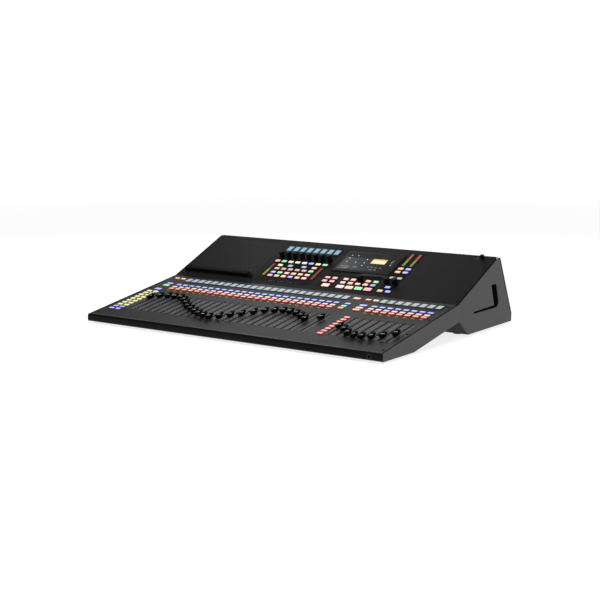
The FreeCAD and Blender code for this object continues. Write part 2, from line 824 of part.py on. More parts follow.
def track_solids():
    """A grooved track under each slot, and the motor that drives its fader."""
    top = -size("sheet")
    length = size("slot_length") + 2 * size("track_end")
    middle = size("slot_middle")
    deep = top - size("track_depth")
    pieces = []
    for number in list(LEFT_BANK) + [MAIN_COLUMN] + list(RIGHT_BANK):
        across = column(number)
        rail = box_about(across, middle, size("track_width"), length, deep, top)
        groove = box_about(
            across, middle, size("slot_width"), size("slot_length"), top - size("stem_depth") - 1, top + 1)
        motor_side = size("motor_size")
        motor = box_about(across, middle + length / 2 - motor_side / 2, motor_side, motor_side, deep - motor_side, deep)
        for piece in (rail.cut(groove), motor):
            pieces.append(piece.transformed(lower_place().toMatrix()))
    return pieces


# ---------------------------------------------------------------- knobs


def build_knob(name, kind, across, up):
    """A turned knob with a drafted side, on a shaft that passes through the panel."""
    body = new_body(name)
    sketch = new_sketch(body, name + "_profile", "XZ_Plane")
    outline(sketch, (
        ("0", "- sheet - board_drop / 2"),
        ("shaft_radius", "- sheet - board_drop / 2"),
        ("shaft_radius", "knob_gap"),
        (f"{kind}_radius", "knob_gap"),
        (f"{kind}_radius - knob_draft", f"{kind}_height - knob_draft"),
        (f"{kind}_radius - 2 * knob_draft", f"{kind}_height"),
        ("0", f"{kind}_height"),
    ))
    turned = body.newObject("PartDesign::Revolution", name + "_turned")
    turned.Profile = sketch
    turned.ReferenceAxis = (origin_feature(body, "Z_Axis"), [""])
    turned.Angle = 360
    body.Tip = turned
    doc.recompute()
    here = FreeCAD.Placement(Vector(across, up, 0), FreeCAD.Rotation())
    body.Placement = upper_place().multiply(here)
    return body


# ---------------------------------------------------------------- front and underside


def build_armrest():
    """The rounded bar along the front, its two end caps and the headphone jack."""
    front = size("front_line") - size("nose_reach")
    back = size("front_line") + size("nose_inset")
    low, high = size("foot_rise"), size("nose_top")
    depth = back - front
    half = size("tray_width") / 2 - size("end_cap_width") - size("panel_gap")

    def bar(left, right):
        block = Part.makeBox(right - left, depth, high - low, Vector(left, front, low))
        edges = [
            edge for edge in block.Edges
            if edge.BoundBox.XLength > (right - left) / 2 and edge.BoundBox.YMax < front + 0.01
        ]
        return block.makeFillet(size("nose_round"), edges)

    rail = bar(-half, half)
    y_dir = Vector(0, 1, 0)
    start = Vector(size("jack_across"), front - size("jack_proud"), size("jack_height"))
    barrel = Part.makeCylinder(size("jack_barrel_radius"), size("jack_length") + 3, start, y_dir)
    ring = Part.makeCylinder(size("jack_ring_radius"), 2 * size("jack_proud"), start, y_dir)
    bore = Part.makeCylinder(size("jack_bore_radius"), size("jack_length"), start, y_dir)
    seat = Part.makeCylinder(size("jack_barrel_radius"), depth * 2, start, y_dir)
    recess = Part.makeCylinder(size("jack_ring_radius"), 2 * size("jack_proud"), start, y_dir)
    rail = rail.cut(seat).cut(recess)
    jack = barrel.fuse(ring).removeSplitter().cut(bore)
    outer = size("tray_width") / 2
    inner = outer - size("end_cap_width")
    return group("front_armrest", [rail, bar(-outer, -inner), bar(inner, outer), jack])


def build_feet():
    """Rubber feet under the toe and the heel."""
    rise, radius = size("foot_rise"), size("foot_radius")
    half = size("overall_width") / 2 - 40
    reaches = (40, size("heel_reach") + 25, size("cheek_depth") - 35)
    feet = []
    for reach in reaches:
        for across in (-half, half):
            base = Vector(across, size("front_line") + reach, 0)
            feet.append(Part.makeCone(radius * 0.85, radius, rise, base))
    return group("rubber_feet", feet)


def build_electronics():
    """What the case encloses: fader tracks and motors, the circuit board and the mains supply."""
    upper = upper_place()
    top = -size("sheet") - size("board_drop")
    thick = size("board_thickness")
    board = box_about(0, 105, 640, 150, top - thick, top)
    for across, wide in ((-120, 34), (0, 40), (130, 30)):
        board = board.fuse(box_about(across, 105, wide, wide, top, top + 3))
    for across in (-300, -200, 250, 300):
        for up in (45, 165):
            post = Part.makeCylinder(3, size("board_drop"), Vector(across, up, top))
            board = board.fuse(post)
    board.Placement = upper
    return group("electronics", track_solids() + [board.removeSplitter(), supply_solid()])


def supply_solid():
    """The mains supply: a box with an open lattice of cooling slots in its lid."""
    low = size("foot_rise") + size("sheet")
    width, depth, height = size("supply_width"), size("supply_depth"), size("supply_height")
    corner = Vector(-width / 2 - 160, size("front_line") + 405, low)
    supply = Part.makeBox(width, depth, height, corner)
    slots = []
    slot_pitch = 12
    for number in range(1, int(width / slot_pitch)):
        place = corner + Vector(number * slot_pitch - 2, 15, height - 6)
        slots.append(Part.makeBox(4, depth - 30, 10, place))
    return supply.cut(slots)


# ---------------------------------------------------------------- rear connectors

SOCKET_BOXES = (
    (INLET_ACROSS, 28, 22),
    (SWITCH_ACROSS, 15, 22),
    (NETWORK_SOCKETS[0], 16, 14),
    (NETWORK_SOCKETS[1], 16, 14),
    (DATA_SOCKET, 12.5, 12),
)


def xlr_body():
    """Flange and barrel that the inputs and outputs share."""
    flange = box_about(0, 0, size("xlr_width"), size("xlr_height"), 0, size("connector_flange"))
    upright = [edge for edge in flange.Edges if abs(edge.tangentAt(edge.FirstParameter).z) > 0.9]
    flange = flange.makeFillet(3, upright)
    barrel = Part.makeCylinder(size("xlr_barrel"), size("xlr_depth") + 1.5, Vector(0, 0, -size("xlr_depth") - 1.5))
    body = flange.fuse(barrel)
    for across, up in ((-9.5, 12), (9.5, -12)):
        body = body.cut(Part.makeCylinder(1.6, 10, Vector(across, up, -5)))
    return body


def input_socket():
    """A socket for a plug: a ring groove round an insert with three contact holes."""
    flange = size("connector_flange")
    groove_depth = 13
    insert = 7.6
    body = xlr_body()
    ring = Part.makeCylinder(size("xlr_cup"), groove_depth, Vector(0, 0, flange - groove_depth))
    core = Part.makeCylinder(insert, groove_depth, Vector(0, 0, flange - groove_depth))
    body = body.cut(ring.cut(core))
    for angle in (90, 210, 330):
        at = Vector(3.8 * math.cos(math.radians(angle)), 3.8 * math.sin(math.radians(angle)), flange - 9)
        body = body.cut(Part.makeCylinder(1.3, 10, at))
    return body.removeSplitter()


def output_cup():
    """A deep round cup that takes a cable's socket."""
    depth = size("xlr_depth")
    cup = Part.makeCylinder(size("xlr_cup"), depth, Vector(0, 0, size("connector_flange") - depth))
    return xlr_body().cut(cup).removeSplitter()


def boxed_socket(width, height, rim, depth):
    """A rectangular socket: an open box sunk in the wall, with a rim outside it."""
    flange = box_about(0, 0, width + 2 * rim, height + 2 * rim, 0, size("connector_flange") / 2)
    body = flange.fuse(box_about(0, 0, width, height, -depth, 0.5))
    wall = 1.3
    hollow = box_about(0, 0, width - 2 * wall, height - 2 * wall, -depth + wall, 10)
    return body.cut(hollow).removeSplitter()


def line_jack():
    start = Vector(0, 0, -22)
    nut = Part.makeCylinder(size("jack_ring_radius"), size("connector_flange"))
    barrel = Part.makeCylinder(size("jack_barrel_radius"), 22 + 1, start)
    bore = Part.makeCylinder(size("jack_bore_radius"), 40, start + Vector(0, 0, 2))
    return nut.fuse(barrel).removeSplitter().cut(bore)


def moved(solid, across, up):
    copy = solid.copy()
    copy.translate(Vector(across, up, 0))
    return copy


def socket_rows(solid, start, count):
    """Two rows of one kind of round socket."""
    pitch = size("xlr_pitch")
    return [moved(solid, start + number * pitch, up) for up in INPUT_ROWS for number in range(count)]


def build_inputs():
    """The input sockets on the rear wall, each a separate solid."""
    return group("rear_inputs", socket_rows(input_socket(), INPUT_START, INPUT_COUNT), rear_place())


def build_outputs():
    """The output cups and the sockets below them, each a separate solid."""
    pieces = socket_rows(output_cup(), OUTPUT_START, OUTPUT_COUNT)
    pieces += [moved(line_jack(), across, SOCKET_ROW) for across in LINE_JACKS]
    rims = (6, 1.5, 1.5, 1.5, 1.5)
    depths = (18, 14, 15, 15, 14)
    for (across, wide, tall), rim, depth in zip(SOCKET_BOXES, rims, depths):
        pieces.append(moved(boxed_socket(wide, tall, rim, depth), across, SOCKET_ROW))
    return group("rear_outputs", pieces, rear_place())


def build_switch():
    """The mains rocker, tilted to its on side about a pin across its case."""
    width, height, deep, top = 11.5, 17, 9, 1.2
    tilt = 8
    dip_radius, dip_depth = 40, 1.4
    rocker = box_about(0, 0, width, height, -deep, top)
    dip_middle = Vector(-width / 2 - 1, 0, top + dip_radius - dip_depth)
    rocker = rocker.cut(Part.makeCylinder(dip_radius, width + 2, dip_middle, X_AXIS))
    pin_radius, pin_reach = 1.5, 0.3
    pin_start = Vector(-width / 2 - pin_reach, 0, -deep / 2)
    rocker = rocker.fuse(Part.makeCylinder(pin_radius, width + 2 * pin_reach, pin_start, X_AXIS))
    rocker.rotate(Vector(0, 0, -deep / 2), X_AXIS, tilt)
    rocker.translate(Vector(SWITCH_ACROSS, SOCKET_ROW, 0))
    return group("power_switch", [rocker], rear_place())


# ---------------------------------------------------------------- whole object


def build_all():
    """Builds every sub-part and returns the nodes by name."""
    fill_sheet()
    nodes = {}
    nodes["chassis_tray"] = build_tray()
    nodes["rear_panel"] = build_rear_panel()
    nodes["rear_inputs"] = build_inputs()
    nodes["rear_outputs"] = build_outputs()
    nodes["power_switch"] = build_switch()
    nodes["lower_panel"] = build_lower_panel()
    nodes["upper_panel"] = build_upper_panel()
    for cheek in build_cheeks():
        nodes[cheek.Name] = cheek
    nodes["front_armrest"] = build_armrest()
    nodes["rubber_feet"] = build_feet()
    nodes["display_glass"] = build_displays()
    nodes["electronics"] = build_electronics()
    nodes["lower_buttons"] = key_group("lower_buttons", channel_keys() + bank_keys(), lower_place())
    nodes["upper_buttons"] = key_group("upper_buttons", section_keys(), upper_place())
    for fader in build_faders():
        nodes[fader.Name] = fader
    for knob in knobs():
        nodes[knob[0]] = build_knob(*knob)
    doc.recompute()
    return nodes


def check_and_export(nodes):
    """Refuses a failed object or a bad solid, then writes one file for each node."""
    for item in doc.Objects:
        if {"Invalid", "Error"} & set(item.State):
            raise ValueError(f"{item.Name} failed: {item.State}")
    for name, feature in nodes.items():
        if feature.Shape.isNull() or not feature.Shape.isValid() or not feature.Shape.Solids:
            raise ValueError(f"{name} has no valid solid")
    os.makedirs("parts", exist_ok=True)
    for name, feature in nodes.items():
        feature.Label = name
        feature.Shape.exportStep(os.path.join("parts", name + ".step"))
        print(f"{name}: {len(feature.Shape.Solids)} solids, {feature.Shape.Volume / 1000:.1f} cm3")


nodes = build_all()
check_and_export(nodes)
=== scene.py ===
import json
import logging
import math
from dataclasses import dataclass, field
from enum import Enum
from typing import Callable, Iterable, Sequence

import bpy
from mathutils import Matrix, Vector


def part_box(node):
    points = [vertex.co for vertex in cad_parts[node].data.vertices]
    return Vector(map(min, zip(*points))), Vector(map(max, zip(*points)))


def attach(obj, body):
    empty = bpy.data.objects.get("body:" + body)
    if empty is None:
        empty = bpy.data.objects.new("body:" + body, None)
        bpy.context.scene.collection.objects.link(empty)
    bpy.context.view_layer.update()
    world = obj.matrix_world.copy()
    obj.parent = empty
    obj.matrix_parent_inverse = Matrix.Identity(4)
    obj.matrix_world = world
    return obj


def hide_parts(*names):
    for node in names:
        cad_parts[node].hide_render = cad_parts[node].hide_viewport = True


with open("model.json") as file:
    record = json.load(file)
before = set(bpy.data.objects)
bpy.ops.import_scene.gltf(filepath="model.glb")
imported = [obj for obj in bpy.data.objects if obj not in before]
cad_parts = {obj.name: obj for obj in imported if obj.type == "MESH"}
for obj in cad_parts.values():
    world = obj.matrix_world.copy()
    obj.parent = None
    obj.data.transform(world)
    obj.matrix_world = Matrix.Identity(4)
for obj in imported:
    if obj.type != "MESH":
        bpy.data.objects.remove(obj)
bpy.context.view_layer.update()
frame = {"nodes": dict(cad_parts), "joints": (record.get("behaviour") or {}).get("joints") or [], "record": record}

MM = 0.001
log = logging.getLogger("console")

Colour = tuple[float, float, float]
Spot = tuple[float, float]
Shade = Colour | bpy.types.NodeSocket


class Tone(Enum):
    """The colours that a lit key or lamp can have: the body colour of its face."""

    BLUE = (0.20, 0.33, 0.90)
    LILAC = (0.30, 0.32, 0.88)
    GREEN = (0.20, 0.80, 0.32)
    YELLOW = (0.95, 0.90, 0.45)
    CREAM = (0.95, 0.80, 0.55)
    PEACH = (0.95, 0.52, 0.36)
    ORANGE = (0.95, 0.42, 0.16)
    AMBER = (0.62, 0.25, 0.08)
    RED = (0.92, 0.17, 0.13)
    PINK = (0.92, 0.30, 0.34)
    ROSE = (0.95, 0.68, 0.68)
    APRICOT = (0.95, 0.66, 0.46)
    WHITE = (0.90, 0.90, 0.95)
    GREY = (0.22, 0.22, 0.25)
    NAVY = (0.14, 0.22, 0.60)


@dataclass(frozen=True)
class Plane:
    """A sloping surface of the case: across, up the slope and out of it, in millimetres."""

    origin: Vector
    up: Vector
    out: Vector
    right: Vector = Vector((1, 0, 0))

    def at(self, across: float, up: float, out: float = 0.0, turn: float = 0.0) -> Matrix:
        """The place of a piece on this surface.

        Args:
            across: Millimetres from the middle.
            up: Millimetres up the slope.
            out: Millimetres out of the surface.
            turn: Degrees turned about the surface's normal.

        Returns:
            A matrix from the piece's own metres to the object's frame.
        """
        basis = Matrix((self.right, self.up, self.out)).transposed().to_4x4()
        spot = self.origin + (self.right * across + self.up * up + self.out * out) * MM
        return Matrix.Translation(spot) @ basis @ Matrix.Rotation(math.radians(turn), 4, "Z")


def joint(name: str) -> dict:
    """The record's entry for one joint."""
    return next(entry for entry in frame["joints"] if entry["name"] == name)


def plate_plane(node: str, normal: Sequence[float], start: float) -> Plane:
    """Finds a panel's surface from the box of its plate.

    Args:
        node: The panel's CAD node.
        normal: The direction out of the panel.
        start: Millimetres up the slope at which the plate's front edge lies.

    Returns:
        The panel's plane, whose origin is where the slope starts.
    """
    out = Vector(normal).normalized()
    up = Vector((0, out.z, -out.y))
    corners = [vertex.co for vertex in frame["nodes"][node].data.vertices]
    front = min(corners, key=lambda corner: corner.dot(up) - corner.dot(out) * MM)
    top = max(corner.dot(out) for corner in corners if corner.dot(up) < front.dot(up) + MM)
    origin = up * (front.dot(up) - start * MM) + out * top
    return Plane(Vector((0, origin.y, origin.z)), up, out)


LOWER = plate_plane("lower_panel", joint("lower_buttons_press")["axis"], 6.6)
UPPER = plate_plane("upper_panel", joint("upper_buttons_press")["axis"], 0.6)


def rear_plane() -> Plane:
    """The outer face of the rear wall, from the plate's own corners."""
    corners = [v.co for v in frame["nodes"]["rear_panel"].data.vertices]
    low = max((co for co in corners), key=lambda co: co.y)
    high = max((co for co in corners), key=lambda co: co.z * 2 + co.y)
    up = Vector((0, high.y - low.y, high.z - low.z)).normalized()
    out = Vector((0, up.z, -up.y))
    return Plane(Vector((0, low.y, low.z)), up, out, Vector((-1, 0, 0)))


REAR = rear_plane()


def centre_of(node: str) -> Vector:
    """The middle of a CAD node's box."""
    low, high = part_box(node)
    return (low + high) / 2


FIRST_COLUMN = centre_of("fader_01").x / MM
COLUMN_PITCH = (centre_of("fader_24").x / MM - FIRST_COLUMN) / 23
LEFT_BANK = range(0, 24)
RIGHT_BANK = range(28, 36)
STRIPS = (*LEFT_BANK, *RIGHT_BANK)
MAIN_COLUMN = 24.5


def column(number: float) -> float:
    """Millimetres across of one column of the lower panel."""
    return FIRST_COLUMN + number * COLUMN_PITCH


# ---------------------------------------------------------------- materials


class Value:
    """A number that varies over a surface, and that takes part in arithmetic."""

    def __init__(self, paint: "Paint", socket: bpy.types.NodeSocket) -> None:
        """Wraps an output socket of a paint's node tree."""
        self.paint = paint
        self.socket = socket

    def _join(self, operation: str, *others: "Value | float") -> "Value":
        """Adds one Math node for this value and the others."""
        made = self.paint.node("ShaderNodeMath", {"operation": operation}, self, *others)
        return Value(self.paint, made.outputs[0])

    def __add__(self, other: "Value | float") -> "Value":
        """Sum."""
        return self._join("ADD", other)

    def __sub__(self, other: "Value | float") -> "Value":
        """Difference."""
        return self._join("SUBTRACT", other)

    def __mul__(self, other: "Value | float") -> "Value":
        """Product."""
        return self._join("MULTIPLY", other)

    def __gt__(self, other: "Value | float") -> "Value":
        """One where this is the greater, and nought elsewhere."""
        return self._join("GREATER_THAN", other)

    def __lt__(self, other: "Value | float") -> "Value":
        """One where this is the lesser, and nought elsewhere."""
        return self._join("LESS_THAN", other)

    def sine(self) -> "Value":
        """The sine of this value."""
        return self._join("SINE")

    def size(self) -> "Value":
        """This value without its sign."""
        return self._join("ABSOLUTE")

    def most(self, other: "Value | float") -> "Value":
        """The greater of two values."""
        return self._join("MAXIMUM", other)

    def ramp(self, low: float, high: float) -> "Value":
        """Nought up to low, one from high, and straight between them."""
        made = self.paint.node("ShaderNodeMapRange", {"clamp": True}, self, low, high, 0.0, 1.0)
        return Value(self.paint, made.outputs[0])

    def near(self, middle: float, half: float) -> "Value":
        """One within half of middle, and nought elsewhere."""
        return (self - middle).size() < half


class Paint:
    """One procedural material, built node by node."""

    def __init__(self, name: str, roughness: float = 0.5, metallic: float = 0.0, **constants: float) -> None:
        """Makes the material.

        Args:
            name: The material's name.
            roughness: The shader's roughness where nothing varies it.
            metallic: The shader's metallic value.
            constants: Other shader sockets by name, with underscores for blanks.
        """
        self.material = bpy.data.materials.new(name)
        self.material.use_nodes = True
        self.tree = self.material.node_tree
        self.shader = self.tree.nodes["Principled BSDF"]
        self.set(roughness=roughness, metallic=metallic, **constants)
        self._place: Value | None = None

    def set(self, **constants: float | Sequence[float]) -> "Paint":
        """Sets the shader's own sockets to constant values."""
        for word, value in constants.items():
            self.shader.inputs[word.replace("_", " ").title().replace("Ior", "IOR")].default_value = value
        return self

    def node(self, kind: str, settings: dict, *feeds: "Value | float | None") -> bpy.types.Node:
        """Adds any node.

        Args:
            kind: The node's type.
            settings: Properties that are set before its sockets are fed.
            feeds: A value, a link or nothing for each input, in order.

        Returns:
            The node.
        """
        made = self.tree.nodes.new(kind)
        for key, value in settings.items():
            setattr(made, key, value)
        for number, feed in enumerate(feeds):
            if isinstance(feed, Value):
                self.tree.links.new(feed.socket, made.inputs[number])
            elif isinstance(feed, bpy.types.NodeSocket):
                self.tree.links.new(feed, made.inputs[number])
            elif feed is not None:
                made.inputs[number].default_value = feed
        return made

    def axes(self) -> tuple[Value, Value, Value]:
        """The object's own coordinates, in millimetres."""
        if self._place is None:
            coordinates = self.node("ShaderNodeTexCoord", {})
            split = self.node("ShaderNodeSeparateXYZ", {}, coordinates.outputs["Object"])
            self._point = coordinates.outputs["Object"]
            self._place = tuple(Value(self, socket) * (1 / MM) for socket in split.outputs)
        return self._place

    def on(self, plane: Plane) -> tuple[Value, Value, Value]:
        """Across, up the slope and out of a plane, in millimetres."""
        x, y, z = self.axes()
        base = plane.origin / MM
        up = y * plane.up.y + z * plane.up.z - (base.y * plane.up.y + base.z * plane.up.z)
        out = y * plane.out.y + z * plane.out.z - (base.y * plane.out.y + base.z * plane.out.z)
        return x, up, out

    def grain(self, scale: float, detail: float = 3.0, roughness: float = 0.6) -> Value:
        """Noise over the surface, from nought to one."""
        self.axes()
        settings = {"noise_dimensions": "3D"}
        made = self.node("ShaderNodeTexNoise", settings, self._point, None, scale, detail, roughness)
        return Value(self, made.outputs[0])

    def blend(self, factor: Value, first: "Shade", second: "Shade") -> bpy.types.NodeSocket:
        """Mixes two colours by a factor."""
        made = self.tree.nodes.new("ShaderNodeMix")
        made.data_type = "RGBA"
        self.tree.links.new(factor.socket, made.inputs[0])
        for number, colour in ((6, first), (7, second)):
            if isinstance(colour, bpy.types.NodeSocket):
                self.tree.links.new(colour, made.inputs[number])
            else:
                made.inputs[number].default_value = (*colour, 1.0)
        return made.outputs[2]

    def feed(self, socket: str, source: "Value | bpy.types.NodeSocket") -> "Paint":
        """Feeds one of the shader's sockets."""
        link = source.socket if isinstance(source, Value) else source
        self.tree.links.new(link, self.shader.inputs[socket])
        return self

    def light(self, shades: bpy.types.NodeSocket) -> "Paint":
        """Lights the surface in its own colour."""
        return self.feed("Base Color", shades).feed("Emission Color", shades)

    def relief(self, height: Value, distance: float, strength: float = 1.0) -> "Paint":
        """Raises the surface by a height map, in millimetres."""
        made = self.tree.nodes.new("ShaderNodeBump")
        made.inputs["Strength"].default_value = strength
        made.inputs["Distance"].default_value = distance * MM
        self.tree.links.new(height.socket, made.inputs["Height"])
        self.tree.links.new(made.outputs[0], self.shader.inputs["Normal"])
        return self


def rectangle_mask(x: Value, v: Value, left: float, right: float, low: float, high: float) -> Value:
    """One inside a rectangle of a panel, and nought outside it."""
    return x.near((left + right) / 2, (right - left) / 2) * v.near((low + high) / 2, (high - low) / 2)


@dataclass(frozen=True)
class PowderCoat:
    """Fine textured paint on sheet metal."""

    name: str
    colour: Colour
    roughness: float = 0.62
    grain: float = 900.0
    depth: float = 0.05
    gloss: float = 0.2

    def start(self) -> tuple[Paint, Value]:
        """Makes the paint with its grain, and returns both."""
        paint = Paint(self.name, self.roughness)
        grain = paint.grain(self.grain)
        cloud = paint.grain(9.0, 4.0)
        paint.set(specular_ior_level=self.gloss)
        paint.relief(grain, self.depth)
        paint.feed("Roughness", cloud * 0.12 + grain * 0.1 + (self.roughness - 0.11))
        return paint, grain

    def shades(self, paint: Paint, grain: Value) -> bpy.types.NodeSocket:
        """The paint's colour, flecked by its grain."""
        darker = tuple(0.78 * part for part in self.colour)
        lighter = tuple(min(1.0, 1.25 * part) for part in self.colour)
        return paint.blend(grain, darker, lighter)

    def make(self) -> bpy.types.Material:
        """A material with nothing but the paint."""
        paint, grain = self.start()
        paint.feed("Base Color", self.shades(paint, grain))
        return paint.material


@dataclass(frozen=True)
class MouldedPlastic:
    """Satin plastic with a fine spark texture and faint smears."""

    name: str
    colour: Colour
    roughness: float = 0.4
    grain: float = 1400.0
    gloss: float = 0.25

    def make(self) -> bpy.types.Material:
        """The plastic's material."""
        paint = Paint(self.name, self.roughness, specular_ior_level=self.gloss)
        grain = paint.grain(self.grain, 2.0)
        smear = paint.grain(30.0, 3.0)
        lighter = tuple(min(1.0, 1.35 * part + 0.001) for part in self.colour)
        paint.feed("Base Color", paint.blend(smear, self.colour, lighter))
        paint.feed("Roughness", smear * 0.16 + (self.roughness - 0.08))
        paint.relief(grain, 0.02, 0.6)
        return paint.material


@dataclass(frozen=True)
class BrightMetal:
    """Turned or plated metal."""

    name: str
    colour: Colour
    roughness: float = 0.25

    def make(self) -> bpy.types.Material:
        """The metal's material."""
        paint = Paint(self.name, self.roughness, 1.0)
        scratch = paint.grain(700.0, 4.0)
        darker = tuple(0.8 * part for part in self.colour)
        paint.feed("Base Color", paint.blend(scratch, darker, self.colour))
        paint.feed("Roughness", scratch * 0.18 + (self.roughness - 0.05))
        return paint.material


@dataclass(frozen=True)
class LitKeyFace:
    """A translucent key cap lit from below, its top painted paler as a highlight and its sides painted darker as
    shade.
    """

    tone: Tone
    plane: Plane
    glow: float = 0.26

    def make(self) -> bpy.types.Material:
        """The key's material."""
        rich = self.tone.value
        # pale is the painted highlight colour of the top; deep is the painted shade colour of the sides.
        pale = tuple(part + (1.0 - part) * 0.34 for part in rich)
        deep = tuple(part * part * 0.75 for part in rich)
        paint = Paint(f"key_{self.tone.name.lower()}", 0.35, emission_strength=self.glow)
        geometry = paint.node("ShaderNodeNewGeometry", {})
        split = paint.node("ShaderNodeSeparateXYZ", {}, geometry.outputs["Normal"])
        _, back, up = (Value(paint, part) for part in split.outputs)
        # Painted light: faces that look out of the panel take the pale highlight colour, and faces that turn away
        # take the darker shade colour.
        facing = back * self.plane.out.y + up * self.plane.out.z
        spots = paint.grain(260.0, 2.0)
        top = (facing * 0.92 + spots * 0.16).ramp(0.35, 1.02)
        shades = paint.blend(top, deep, pale)
        paint.light(shades)
        paint.feed("Roughness", spots * 0.1 + 0.28)
        return paint.material


class Finishes:
    """Every finish that more than one piece uses, made once."""

    def __init__(self) -> None:
        """Makes the shared finishes."""
        self.black = MouldedPlastic("black_plastic", (0.004, 0.004, 0.0045), 0.42, gloss=0.1).make()
        self.cap = MouldedPlastic("fader_black", (0.0012, 0.0012, 0.0014), 0.55, gloss=0.02).make()
        self.knob = MouldedPlastic("knob_black", (0.003, 0.003, 0.0035), 0.45, gloss=0.08).make()
        self.rubber = MouldedPlastic("foot_rubber", (0.02, 0.02, 0.02), 0.8, grain=600.0).make()
        self.white = MouldedPlastic("white_mark", (0.72, 0.72, 0.72), 0.5).make()
        self.ink = MouldedPlastic("printed_grey", (0.27, 0.27, 0.275), 0.6).make()
        self.faint = MouldedPlastic("printed_dim", (0.075, 0.075, 0.08), 0.6).make()
        self.chrome = BrightMetal("plated_steel", (0.75, 0.76, 0.78), 0.2).make()
        self.gold = BrightMetal("gold_contact", (0.90, 0.66, 0.30), 0.28).make()
        self.zinc = BrightMetal("black_screw", (0.09, 0.09, 0.10), 0.35).make()
        self._keys: dict[tuple[Tone, str], bpy.types.Material] = {}

    def key(self, tone: Tone, plane: Plane) -> bpy.types.Material:
        """The finish of a lit key of one tone on one panel."""
        mark = (tone, "lower" if plane is LOWER else "upper")
        if mark not in self._keys:
            self._keys[mark] = LitKeyFace(tone, plane).make()
        return self._keys[mark]


# ---------------------------------------------------------------- mesh work


FaceTest = Callable[[Vector, Vector], bool]


def top_face(centre: Vector, normal: Vector) -> bool:
    """Whether a face looks up."""
    return normal.z > 0.9


def any_face(centre: Vector, normal: Vector) -> bool:
    """Every face."""
    return True


